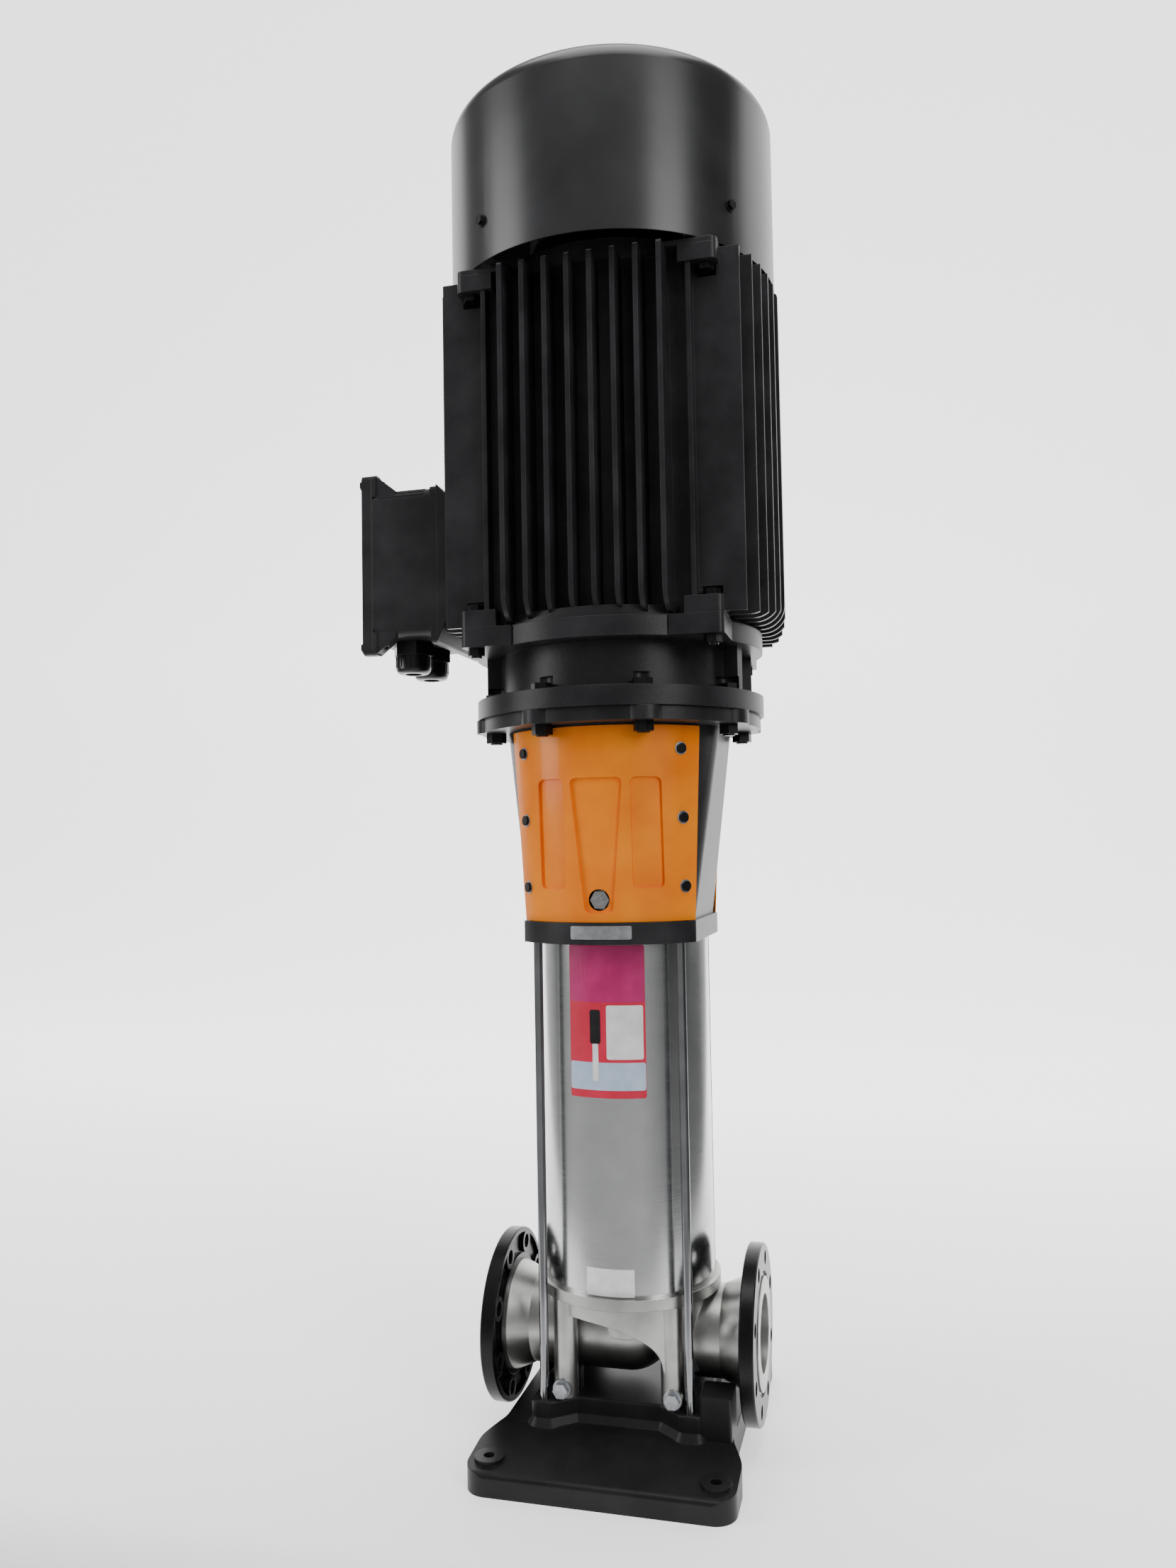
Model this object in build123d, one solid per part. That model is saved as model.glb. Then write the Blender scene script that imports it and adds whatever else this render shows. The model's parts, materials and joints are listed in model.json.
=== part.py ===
from build123d import *
from math import asin, atan, cos, degrees, radians, sin, sqrt
import os

# Vertical multistage centrifugal pump with its flanged electric motor.
# Millimetres. The origin is at the centre of the base's underside, +Z is up along the shaft,
# +X runs along the ports towards the outlet, and -Y is the front.

# Clearances
fit_gap = 0.05       # radial gap of a seated or running fit
free_gap = 0.3       # gap between pieces that must not touch

# Base plate
base_width, base_depth = 338.0, 440.0      # along X and along Y
base_waist = 302.0                         # width between the feet
waist_reach, flare_reach = 84.0, 152.0     # |Y| where the waist ends and the full width starts
foot_edge, foot_crown = 28.0, 40.0         # height at the outer edge and beside the pedestal
foot_corner, foot_edge_round = 28.0, 6.0
bolt_span_x, bolt_span_y = 286.0, 374.0
foot_hole_r, foot_boss_r, foot_boss_top = 7.0, 19.0, 35.0
pedestal_width, pedestal_depth, pedestal_top = 228.0, 214.0, 70.0
pedestal_recess, pedestal_recess_width = 23.0, 112.0
pedestal_round = 10.0
skirt_reach, skirt_height = 9.0, 12.0         # sloped foot of the pedestal where it meets the slab
pocket_depth, pocket_x, pocket_y, rib_half = 20.0, 130.0, 150.0, 9.0
side_block_width, side_block_y, side_block_top = 34.0, (56.0, 105.0), 95.0
ear_width, ear_thick, ear_height = 34.0, 16.0, 28.0

# Pump body
port_height, port_span, port_bore, port_bore_length = 140.0, 365.0, 50.0, 60.0
passage_r = 52.0                           # cast passages behind the machined port bores
spigot_r, flare_r, flare_start, flare_end = 60.0, 72.0, 130.0, 158.0
drum_r, drum_wall, drum_floor = 112.0, 7.0, 178.0
bowl_floor, bowl_edge = 104.0, 62.0
ring_r, ring_bottom, ring_top, sleeve_seat = 124.0, 199.0, 213.6, 206.0
eye_tube_r, eye_r = 62.0, 50.0
outlet_passage_start = 76.0
leg_r, leg_x, leg_y, leg_boss_r, leg_gap = 16.0, 72.0, 78.0, 12.5, 0.05
leg_bolt_x, leg_bolt_rise, leg_bolt_r, leg_bolt_af = 74.0, 13.0, 6.0, 18.0
drain_r, drain_af, drain_boss = 7.0, 19.0, 6.0

# Loose port flanges and the rings that hold them
flange_r, flange_thick, flange_pcd, flange_holes, flange_hole_r = 114.3, 19.0, 190.5, 8, 9.5
snap_r, snap_depth, snap_thick, snap_split = 78.0, 3.0, 6.0, 5.0
flange_face_step = 1.5                     # how far the spigot's face stands proud of the flange
cored_pocket_depth = 5.0

# Sleeve and tie rods
sleeve_r, sleeve_wall, sleeve_length = 115.8, 2.8, 463.0
register_height, o_ring_height, o_ring_depth = 16.0, 3.0, 3.2
rod_place, rod_r, rod_thread = 96.8, 6.0, 26.0
nut_af, nut_height, washer_r, washer_thick = 18.0, 10.0, 11.0, 2.5
nut_depth = 1.0                            # how far the nuts lie below the block's top

# Hydraulic stages
stage_count, stage_pitch, interconnector_height, interconnector_plate = 5, 80.0, 22.0, 6.0
chamber_r, chamber_wall = 105.0, 2.5
impeller_r, impeller_height, impeller_eye_r, shroud = 88.0, 24.0, 46.0, 2.0
vane_count, vane_thick = 6, 3.0
hub_r, pump_shaft_r = 24.0, 15.0
bush_r, bush_height, spider_arms, spider_arm = 26.0, 24.0, 3, 8.0

# Pump head and shaft seal
head_flange_r, head_flange_thick, head_cone = 116.0, 19.0, 69.0
head_shoulder_r, head_neck_r = 92.0, 58.0
seal_bore_r, gland_r, gland_thick, gland_screw_pcd = 32.0, 50.0, 12.0, 82.0
seal_length, running_gap = 38.0, 16.0      # the seal's driven half; impeller above its chamber floor
vent_rise, vent_boss_r, vent_boss_y, vent_af, vent_thread_r = 57.0, 15.0, 127.0, 22.0, 8.0

# Motor stool: two flat cheeks and two curved sides with a window each
stool_height, block_height = 302.0, 28.0
block_r, block_flat = 150.0, 117.0
stool_low_r, stool_low_flat = 143.0, 113.0
stool_top_r, stool_top_flat = 158.0, 147.5
stool_wall, stool_corner = 10.0, 40.0
window_half, window_low, window_high = 88.0, 9.0, 24.0
coupling_seat = 16.0                       # where the coupling bolts' heads and nuts sit
stool_flange_r, stool_flange_thick, lobe_r = 194.0, 18.0, 27.0
nut_pocket_r, nut_access, bolt_pocket_r = 11.5, 30.0, 15.0

# Coupling guards
guard_thick, guard_angle = 1.6, 53.0
guard_hole_r, guard_screw_x, guard_screw_r = 3.2, 104.5, 3.0
guard_screw_heights = (45.0, 134.0, 223.0)  # above the block
guard_vent_hole_r = 14.0
press_depth, press_round = 4.0, 9.0        # panels pressed into each guard, heights above the block
press_side_x, press_side_low, press_side_high = (43.0, 84.0), 42.0, 188.0
press_mid_low_half, press_mid_high_half, press_mid_low, press_mid_high = 20.0, 37.0, 11.0, 188.0

# Motor mounting flange and end shields
motor_flange_r, motor_flange_thick, motor_pcd, motor_bolts = 200.0, 26.0, 350.0, 8
motor_spigot_r, motor_spigot = 150.0, 5.0
motor_bolt_r, motor_bolt_af = 8.0, 24.0
neck_r, neck_wall, neck_height = 165.0, 12.0, 61.0
shield_ring_r, shield_ring_height = 200.0, 26.0
lug_place, lug_face, lug_height, lug_bolt_r, lug_bolt_af = 157.0, 174.0, 22.0, 7.0, 20.0
neck_rib_r, neck_rib, neck_rib_turns = 186.0, 14.0, (18, 162, 198, 342)
lug_root, shield_lug_root = 124.0, 104.0   # how far in towards the axis the lugs reach
head_pocket_r, head_pocket_height = 14.0, 14.0     # room for a bolt's head where a fin crosses a lug
bearing_r, bearing_bore, bearing_height, bearing_race = 62.0, 30.0, 28.0, 9.0

# Motor frame
frame_length, frame_bore, frame_wall = 470.0, 150.0, 15.0
frame_ring_r, top_ring_r, frame_ring_height = 192.0, 170.0, 14.0
fin_thick, fin_pitch, front_fin_reach = 6.5, 30.0, 200.0
front_fins, corner_fin_reach = 8, 172.0
side_fin_reach = (233.0, 230.5, 226.5, 220.5, 212.5, 200.0)   # from the middle fin outwards
corner_plate_inner, fin_round, fin_top_round = 140.0, 32.0, 6.0
saddle_reach, saddle_half, saddle_low, saddle_high = 236.0, 98.0, 28.0, 196.0
saddle_low_slope, saddle_high_slope = 14.0, 24.0

# Stator and rotor
core_length, core_start, rotor_r, air_gap = 240.0, 96.0, 94.4, 0.6
winding_overhang, motor_shaft_r, shaft_end_r, shaft_extension = 46.0, 35.0, 27.5, 110.0

# Cooling fan and cowl
cowl_r, cowl_sheet, cowl_rim, cowl_top, cowl_round = 228.0, 2.0, 1562.0, 1811.0, 26.0
grille_rings, grille_slots, slot_width = (60.0, 90.0, 120.0, 150.0, 180.0), 8, 14.0
grille_bridge = 14.0
cowl_screw_turn, cowl_screw_height, cowl_screw_r = 10.0, 1617.0, 4.0
fan_r, fan_blades, fan_blade_height, fan_blade_thick, fan_place = 185.0, 8, 62.0, 4.0, 1634.0
fan_hub_r, fan_hub_height, fan_plate = 42.0, 40.0, 4.0

# Terminal box
box_far, box_half, box_low, box_high, box_wall = 334.0, 94.0, 1094.0, 1303.0, 6.0
box_round = 16.0
lead_hole_r, lead_hole_rise = 18.0, 32.0
gasket_thick, lid_thick, lid_panel = 2.0, 14.0, 5.0
ear_reach, ear_side, ear_round, ear_screw_r, ear_lug, ear_slope = 24.0, 24.0, 8.0, 4.0, 5.0, 34.0
box_foot_thick, box_foot_low, box_foot_high = 11.0, 1082.0, 1304.0   # flange that bears on the frame
gland_places, gland_x, cable_gland_r, cable_bore = (-34.0, 34.0), 298.0, 25.0, 12.0
gland_hex, gland_cap = 20.0, 26.0

# Coupling between the shafts
coupling_r, coupling_low, coupling_high, coupling_split = 50.0, 88.0, 228.0, 3.0
coupling_bolt_r, coupling_bolt_af, coupling_bolt_x = 5.0, 16.0, 40.0

# Levels worked out from the sizes above
head_seat = sleeve_seat + sleeve_length
block_top = head_seat + block_height
joint_plane = head_seat + stool_height
shield_low = joint_plane + motor_flange_thick
ring_low = shield_low + neck_height
frame_low = ring_low + shield_ring_height
frame_high = frame_low + frame_length
vent_height = head_seat + vent_rise
head_cone_top = head_seat + head_cone
core_low = frame_low + core_start
core_high = core_low + core_length
face_x = port_span / 2
flange_outer = face_x - flange_face_step
flange_inner = flange_outer - flange_thick
snap_inner = flange_outer - snap_thick - snap_depth
stage_low = ring_top + fit_gap + interconnector_height
head_register_low = head_seat - register_height
nut_seat = block_top - nut_height - washer_thick - nut_depth
seal_low = head_seat + head_cone - seal_length
de_bearing_low = shield_low - 4
nde_bearing_low = frame_high + 10
corner = [(sx, sy) for sx in (-1, 1) for sy in (-1, 1)]
LOW = (Align.CENTER, Align.CENTER, Align.MIN)


def cyl(r, z0, z1, x=0.0, y=0.0):
    """Upright cylinder."""
    return Pos(x, y, z0) * Cylinder(r, z1 - z0, align=LOW)


def tube(r_out, r_in, z0, z1, x=0.0, y=0.0):
    return cyl(r_out, z0, z1, x, y) - cyl(r_in, z0 - 1, z1 + 1, x, y)


def cyl_x(r, x0, x1, y=0.0, z=0.0):
    """Cylinder lying along X."""
    return Pos(x0, y, z) * Rot(0, 90, 0) * Cylinder(r, x1 - x0, align=LOW)


def cyl_y(r, y0, y1, x=0.0, z=0.0):
    """Cylinder lying along Y."""
    return Pos(x, y0, z) * Rot(-90, 0, 0) * Cylinder(r, y1 - y0, align=LOW)


def block(x0, x1, y0, y1, z0, z1):
    centre = Pos((x0 + x1) / 2, (y0 + y1) / 2, (z0 + z1) / 2)
    return centre * Box(abs(x1 - x0), abs(y1 - y0), abs(z1 - z0))


def hexagon(af, z0, z1):
    """Upright hexagonal prism on the Z axis, by its width across flats."""
    return Pos(0, 0, z0) * extrude(RegularPolygon(af / 2, 6, major_radius=False), z1 - z0)


def turned(points):
    """Solid of revolution about Z from (radius, height) points."""
    profile = make_face(Plane.XZ * Polyline(*points, close=True))
    return revolve(profile, Axis.Z)


def spin(count, start=0.0):
    return [Rot(0, 0, start + i * 360 / count) for i in range(count)]


def group(solids):
    return Compound(children=[s for shape in solids for s in shape.solids()])


def flat_sided(r, flat):
    """Circle of radius r with flats at X = -flat and +flat."""
    y = sqrt(r * r - flat * flat)
    front = ThreePointArc((-flat, -y), (0, -r), (flat, -y))
    rear = ThreePointArc((flat, y), (0, r), (-flat, y))
    sides = [Line((s * flat, -s * y), (s * flat, s * y)) for s in (1, -1)]
    return make_face(Curve() + [front, rear] + sides)


def stool_radius(z):
    """Radius of the stool's curved sides at height z."""
    share = (z - block_top) / (joint_plane - stool_flange_thick - block_top)
    return stool_low_r + (stool_top_r - stool_low_r) * share


def stool_loft(offset):
    low = Pos(0, 0, block_top) * flat_sided(stool_low_r + offset, stool_low_flat + offset)
    top_z = joint_plane - stool_flange_thick
    top = Pos(0, 0, top_z) * flat_sided(stool_top_r + offset, stool_top_flat + offset)
    solid = loft([low, top])
    edges = [e for e in solid.edges() if abs(e.center().Z - (block_top + top_z) / 2) < 1]
    return fillet(edges, stool_corner + offset)


# ---------------------------------------------------------------- base and body

def foot_outline():
    xw, xf, yf = base_waist / 2, base_width / 2, base_depth / 2
    lines = [Line((xf, yf), (-xf, yf)), Line((-xf, -yf), (xf, -yf))]
    for s in (1, -1):
        lines.append(Line((s * xw, -waist_reach), (s * xw, waist_reach)))
        for t in (1, -1):
            a, b = (s * xw, t * waist_reach), (s * xf, t * flare_reach)
            lines.append(Spline(a, b, tangents=((0, t), (0, t)), tangent_scalars=(1, 1)))
            lines.append(Line(b, (s * xf, t * yf)))
    return make_face(Curve() + lines)


def pedestal_outline():
    """Block with a lobe at each corner for a tie rod."""
    x, y = pedestal_width / 2, pedestal_depth / 2
    inner, slope = pedestal_recess_width / 2, 30.0
    quarter = [(x, y), (inner + slope, y), (inner, y - pedestal_recess)]
    points = quarter + [(-a, b) for a, b in reversed(quarter)]
    points += [(-a, -b) for a, b in quarter] + [(a, -b) for a, b in reversed(quarter)]
    return make_face(Polyline(*points, close=True))


def pedestal_and_skirt():
    """Pedestal, and the sloped strip that eases its wall into the slab."""
    pedestal = extrude(pedestal_outline(), pedestal_top)
    pedestal = fillet(pedestal.edges().filter_by(Axis.Z), pedestal_round)
    top = pedestal.faces().sort_by(Axis.Z)[-1]
    root = offset(Sketch() + Pos(0, 0, foot_crown - 3 - pedestal_top) * top, skirt_reach)
    skirt = extrude(root, skirt_height, taper=degrees(atan(skirt_reach / skirt_height)))
    return fillet(top.edges(), 3.0) + skirt


def foot_slope(z0, z1):
    """Side view of the foot, flat under the pedestal and falling to z1 at both ends."""
    y_in, y_out = pedestal_depth / 2, base_depth / 2
    fall = (z0 - z1) / (y_out - y_in)
    r, lines = foot_edge_round, []
    for t in (1, -1):
        knee = (t * (y_out - r), z1 + r * fall)
        lines += [Line((0, z0), (t * y_in, z0)), Line((t * y_in, z0), knee),
                  ThreePointArc(knee, (t * (y_out - 0.29 * r), z1 - 0.29 * r), (t * y_out, z1 - r)),
                  Line((t * y_out, z1 - r), (t * y_out, -1))]
    lines.append(Line((-y_out, -1), (y_out, -1)))
    return extrude(make_face(Plane.YZ * (Curve() + lines)), base_width, both=True)


def base_plate():
    slab = extrude(foot_outline(), foot_crown)
    ends = slab.edges().filter_by(Axis.Z).sort_by(lambda e: -abs(e.center().X) - abs(e.center().Y))
    slab = fillet(ends[:4], foot_corner) & foot_slope(foot_crown, foot_edge)
    base = slab + pedestal_and_skirt()
    for s, t in corner:
        base += cyl(foot_boss_r, 5, foot_boss_top, s * bolt_span_x / 2, t * bolt_span_y / 2)
    low, high = side_block_y
    for turn in (0, 180):
        side = block(pedestal_width / 2 - 4, base_waist / 2, -high, -low, 5, side_block_top)
        base += Rot(0, 0, turn) * fillet(side.edges().filter_by(Axis.Z), 4)
    ear_y = leg_y - leg_r - leg_gap
    for s, t in corner:
        x0, x1 = s * (leg_bolt_x - ear_width / 2), s * (leg_bolt_x + ear_width / 2)
        base += block(x0, x1, t * (ear_y - ear_thick), t * ear_y, foot_crown, pedestal_top + ear_height)
    for s, t in corner:
        rod_x, rod_y = s * rod_place, t * rod_place
        base -= cyl(foot_hole_r, -1, foot_boss_top + 1, s * bolt_span_x / 2, t * bolt_span_y / 2)
        base -= cyl(rod_r + fit_gap, pedestal_top - rod_thread, pedestal_top + 1, rod_x, rod_y)
        base -= cyl_y(leg_bolt_r + fit_gap, *sorted((t * (ear_y - ear_thick - 1), t * (ear_y + 1))),
                      x=s * leg_bolt_x, z=pedestal_top + leg_bolt_rise)
        x0, y0 = s * rib_half, t * rib_half
        pocket = block(x0, x0 + s * pocket_x, y0, y0 + t * pocket_y, -1, pocket_depth)
        base -= fillet(pocket.edges().filter_by(Axis.Z), 12)
    return base


def bowl_profile(inset):
    """Side view of the discharge bowl, whose floor drops in a round shoulder to the outlet."""
    r, top = drum_r + 5 - inset, ring_top
    floor, low, edge = drum_floor + inset, bowl_floor + inset, bowl_edge + inset
    start = -drum_r / 2
    shoulder = Spline((start, floor), (edge * 0.45, floor - 16), (edge, low + 14),
                      tangents=((1, 0), (0.1, -1)))
    lines = [shoulder, Line((edge, low + 14), (edge + 4, low)), Line((edge + 4, low), (r, low)),
             Line((r, low), (r, top)), Line((r, top), (-r, top)), Line((-r, top), (-r, floor)),
             Line((-r, floor), (start, floor))]
    return extrude(make_face(Plane.XZ * (Curve() + lines)), 2 * drum_r, both=True)


def spigot(sign):
    """Outer form of a port: a pipe that flares towards its flange, grooved for the flange's ring."""
    start = 0.0 if sign < 0 else drum_r - 18
    groove_r, groove_end = flare_r - snap_depth, snap_inner + snap_thick + fit_gap
    points = [(start, 0), (start, spigot_r), (flare_start, spigot_r), (flare_end, flare_r),
              (snap_inner, flare_r), (snap_inner, groove_r), (groove_end, groove_r), (groove_end, flare_r),
              (face_x, flare_r), (face_x, 0)]
    profile = make_face(Plane.XY * Polyline(*points, close=True))
    pipe = revolve(profile, Axis.X)
    return Pos(0, 0, port_height) * Rot(0, 0, 0 if sign > 0 else 180) * pipe


def sleeve_register():
    """Ring that the sleeve stands on, and the groove for its O-ring."""
    inside = sleeve_r - sleeve_wall - fit_gap
    high, middle = sleeve_seat + register_height, sleeve_seat + register_height / 2
    ring = turned([(drum_r - 8, ring_bottom), (ring_r, ring_bottom), (ring_r, ring_top),
                   (sleeve_r + fit_gap, ring_top), (sleeve_r + fit_gap, sleeve_seat),
                   (inside, sleeve_seat), (inside, high), (drum_r - 8, high)])
    half = o_ring_height / 2 + fit_gap
    return ring, tube(sleeve_r, inside - o_ring_depth, middle - half, middle + half)


def body_legs():
    """Four round legs, each with a faced boss for the bolt through it."""
    legs, holes = Part(), Part()
    z, reach = pedestal_top + leg_bolt_rise, leg_y + leg_r
    for s, t in corner:
        legs += cyl(leg_r, pedestal_top + leg_gap, ring_bottom + 4, s * leg_x, t * leg_y)
        y0, y1 = sorted((t * (leg_y - leg_r), t * reach))
        legs += cyl_y(leg_boss_r, y0, y1, x=s * leg_bolt_x, z=z)
        holes += cyl_y(leg_bolt_r + fit_gap, y0 - 1, y1 + 1, x=s * leg_bolt_x, z=z)
    return legs, holes


def pump_body():
    """Casting with the suction elbow in its middle and the discharge bowl around that."""
    centre, inside = Pos(0, 0, port_height), drum_r - drum_wall
    elbow = centre * Sphere(spigot_r) + cyl(eye_tube_r, port_height, ring_top)
    bowl = bowl_profile(0) & cyl(drum_r, bowl_floor - 1, ring_top)
    cavity = bowl_profile(drum_wall) & cyl(inside, bowl_floor, ring_top)
    cavity += cyl(inside, drum_floor + drum_wall, ring_top + 1)
    body = (bowl - cavity) + spigot(1) + spigot(-1) + elbow
    kept = cyl(eye_tube_r, port_height, ring_top + 2) + cyl_x(spigot_r, -drum_r, 0, z=port_height)
    body -= cavity - elbow - kept
    ring, groove = sleeve_register()
    legs, holes = body_legs()
    body += ring + legs
    body -= groove + holes
    mouth = face_x - port_bore_length
    body -= cyl_x(port_bore, -face_x - 1, -mouth, z=port_height)
    body -= cyl_x(port_bore, mouth, face_x + 1, z=port_height)
    body -= cyl_x(passage_r, -mouth, 0, z=port_height) + centre * Sphere(passage_r)
    body -= cyl(eye_r, port_height, ring_top + 1)
    body -= cyl_x(passage_r, outlet_passage_start, mouth, z=port_height)
    boss_r, drain_z = drum_r + drain_boss, ring_bottom - 4 - drain_r
    boss = cyl_y(drain_r + drain_boss, drum_r - 2 * drain_boss, boss_r, z=drain_z)
    body += boss & cyl(boss_r, drum_floor - drain_boss, ring_bottom)
    return body - cyl_y(drain_r + fit_gap, drum_r - 2 * drain_boss - 2, boss_r + 2, z=drain_z)


def drain_plug():
    z, boss_r = ring_bottom - 4 - drain_r, drum_r + drain_boss
    face = sqrt(boss_r ** 2 - (drain_r + drain_boss) ** 2)
    shank = cyl_y(drain_r, drum_r - 8, face + 3, z=z)
    head = Pos(0, face + 3, z) * Rot(-90, 0, 0) * hexagon(drain_af, 0, 8)
    return shank + head


def leg_bolts():
    solids = []
    z, head_y = pedestal_top + leg_bolt_rise, leg_y + leg_r
    for s, t in corner:
        bolt = cyl_y(leg_bolt_r, -head_y, -(leg_y - leg_r - ear_thick), x=0, z=0)
        bolt += cyl_y(washer_r + 1, -head_y - washer_thick, -head_y)
        bolt += Pos(0, -head_y - washer_thick, 0) * Rot(90, 0, 0) * hexagon(leg_bolt_af, 0, 8)
        solids.append(Rot(0, 0, 0 if t < 0 else 180) * Pos(s * leg_bolt_x, 0, z) * bolt)
    return group(solids)


def port_flange(sign):
    """Loose flange that turns on the spigot; its back is cored between the bolt holes."""
    ring = tube(flange_r, flare_r + fit_gap, flange_inner, flange_outer)
    rims = ring.edges().filter_by(GeomType.CIRCLE).filter_by(lambda e: e.radius > flange_r - 1)
    ring = chamfer(rims, 1.5)
    ring -= cyl(snap_r + free_gap, snap_inner - free_gap, flange_outer + 1)
    pcd_r = flange_pcd / 2
    for place in spin(flange_holes, 180 / flange_holes):
        ring -= place * cyl(flange_hole_r, flange_inner - 1, flange_outer + 1, pcd_r)
    deep = flange_inner + cored_pocket_depth
    core = tube(flange_r - 7, flare_r + 7, flange_inner - 1, deep)
    for place in spin(flange_holes, 180 / flange_holes):
        core -= place * cyl(flange_hole_r + 6, flange_inner - 2, deep + 1, pcd_r)
    ring -= core
    return Pos(0, 0, port_height) * Rot(0, 90 * sign, 0) * ring


def flange_retaining_rings():
    ring = tube(snap_r, flare_r - snap_depth + fit_gap, snap_inner + fit_gap, snap_inner + snap_thick)
    ring -= block(0, snap_r + 1, -snap_split / 2, snap_split / 2, snap_inner - 1, flange_outer)
    return group([Pos(0, 0, port_height) * Rot(0, 90 * sign, 0) * ring for sign in (-1, 1)])


# ---------------------------------------------------------------- sleeve, rods and stages

def outer_sleeve():
    return tube(sleeve_r, sleeve_r - sleeve_wall, sleeve_seat, head_seat)


def sleeve_o_rings():
    r_out = sleeve_r - sleeve_wall - fit_gap
    low, high = sleeve_seat + register_height / 2, head_seat - register_height / 2
    return group([tube(r_out, r_out - o_ring_depth + fit_gap, z - o_ring_height / 2, z + o_ring_height / 2)
                  for z in (low, high)])


def tie_rods():
    low, high = pedestal_top - rod_thread + 1, block_top - free_gap
    return group([cyl(rod_r, low, high, s * rod_place, t * rod_place) for s, t in corner])


def tie_rod_nuts():
    nut_low = nut_seat + washer_thick
    nut = hexagon(nut_af, nut_low, nut_low + nut_height - 0.5) - cyl(rod_r + fit_gap, nut_seat, block_top)
    one = nut + tube(washer_r, rod_r + fit_gap, nut_seat, nut_low)
    return group([Pos(s * rod_place, t * rod_place, 0) * one for s, t in corner])


def suction_interconnector():
    """Neck and plate that carry the first stage and, on a spider, the bottom bearing."""
    low, plate_low = ring_top + fit_gap, stage_low - interconnector_plate
    plate = tube(eye_tube_r, eye_r, low, plate_low + 1) + tube(chamber_r, eye_r, plate_low, stage_low)
    for place in spin(spider_arms, 90):
        arm = block(bush_r + 1, eye_r + 2, -spider_arm / 2, spider_arm / 2, plate_low - 6, stage_low)
        plate += place * arm
    return plate + tube(bush_r + 4, bush_r + fit_gap, stage_low - bush_height, stage_low)


def bottom_bearing_bush():
    return tube(bush_r, pump_shaft_r + fit_gap, stage_low - bush_height, stage_low)


def stage_chamber(i):
    """Pressed cup with an eye in its floor and a lip that centres the next cup."""
    low = stage_low + i * stage_pitch
    cup = tube(chamber_r, chamber_r - chamber_wall, low, low + stage_pitch)
    cup += tube(chamber_r - 1, impeller_eye_r + 2, low, low + chamber_wall)
    cup += tube(impeller_eye_r + 4, impeller_eye_r + free_gap, low, low + running_gap - 1)
    for place in spin(6, 15):
        vane = block(hub_r + 32, chamber_r - 1, -1.2, 1.2, low + stage_pitch - 16, low + stage_pitch)
        cup += place * vane
    return cup


def impeller(i):
    """Closed impeller: two shrouds, a hub and backward-curved vanes."""
    low = stage_low + i * stage_pitch + running_gap
    high = low + impeller_height
    bore, eye = pump_shaft_r + fit_gap, impeller_eye_r - 4
    wheel = tube(impeller_r, bore, high - shroud, high) + tube(hub_r, bore, low, high)
    wheel += turned([(eye, low - 6), (impeller_eye_r, low - 6), (impeller_eye_r, low + 2),
                     (impeller_r, low + 10), (impeller_r, low + 10 + shroud), (eye, low + 2 + shroud)])
    bend = impeller_r * 0.72
    blade = tube(bend, bend - vane_thick, low + 6, high - 1, bend - hub_r / 2, 0)
    keep = tube(impeller_r - 0.5, hub_r + 12, low, high + 1)
    keep = keep & block(-impeller_r, impeller_r, 0, impeller_r, low, high)
    rim = impeller_r + 1
    cone = turned([(0, low - 7), (impeller_eye_r - 4, low + 2), (rim, low + 11), (rim, high), (0, high)])
    blade = blade & keep & cone
    for place in spin(vane_count):
        wheel += place * blade
    return wheel


def impeller_spacers():
    solids = []
    for i in range(stage_count):
        low = stage_low + i * stage_pitch + running_gap + impeller_height
        high = low + stage_pitch - impeller_height
        if i == stage_count - 1:
            high = seal_low
        solids.append(tube(hub_r - 3, pump_shaft_r + fit_gap, low, high))
    return group(solids)


def discharge_guide():
    """Open ring that passes the clamping load from the head to the last stage."""
    low = stage_low + stage_count * stage_pitch
    ring = tube(chamber_r, chamber_r - 12, low, low + 6)
    ring += tube(chamber_r, chamber_r - 12, head_register_low - 6, head_register_low)
    for place in spin(6):
        ring += place * block(chamber_r - 11, chamber_r - 1, -6, 6, low + 1, head_register_low - 1)
    return ring


# ---------------------------------------------------------------- head, seal and stool

def pump_head():
    r_in = sleeve_r - sleeve_wall - fit_gap
    head = turned([(seal_bore_r, head_register_low), (r_in, head_register_low), (r_in, head_seat),
                   (head_flange_r, head_seat), (head_flange_r, head_seat + head_flange_thick),
                   (head_shoulder_r, head_seat + head_flange_thick), (head_neck_r, head_seat + 44),
                   (head_neck_r, head_cone_top), (seal_bore_r, head_cone_top)])
    middle, half = head_seat - register_height / 2, o_ring_height / 2 + fit_gap
    head -= tube(sleeve_r, r_in - o_ring_depth, middle - half, middle + half)
    head += cyl_y(vent_boss_r, -vent_boss_y, 4 - head_neck_r, z=vent_height)
    head -= cyl_y(vent_thread_r + fit_gap, -vent_boss_y - 1, -vent_boss_y + 24, z=vent_height)
    for place in spin(4, 45):
        head -= place * cyl(4 + fit_gap, head_cone_top - 14, head_cone_top + 1, gland_screw_pcd / 2)
    return head


def vent_plug():
    """Hexagon plug with a small bleed screw in its middle."""
    z, y = vent_height, -vent_boss_y
    plug = cyl_y(vent_thread_r, y - 2, y + 20, z=z) + cyl_y(vent_af / 2 + 1, y - 2, y - leg_gap, z=z)
    plug += Pos(0, y - 2, z) * Rot(90, 0, 0) * hexagon(vent_af, 0, 11)
    plug += cyl_y(6, y - 18, y - 12, z=z)
    return plug + Pos(0, y - 18, z) * Rot(90, 0, 0) * hexagon(9, 0, 5)


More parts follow.
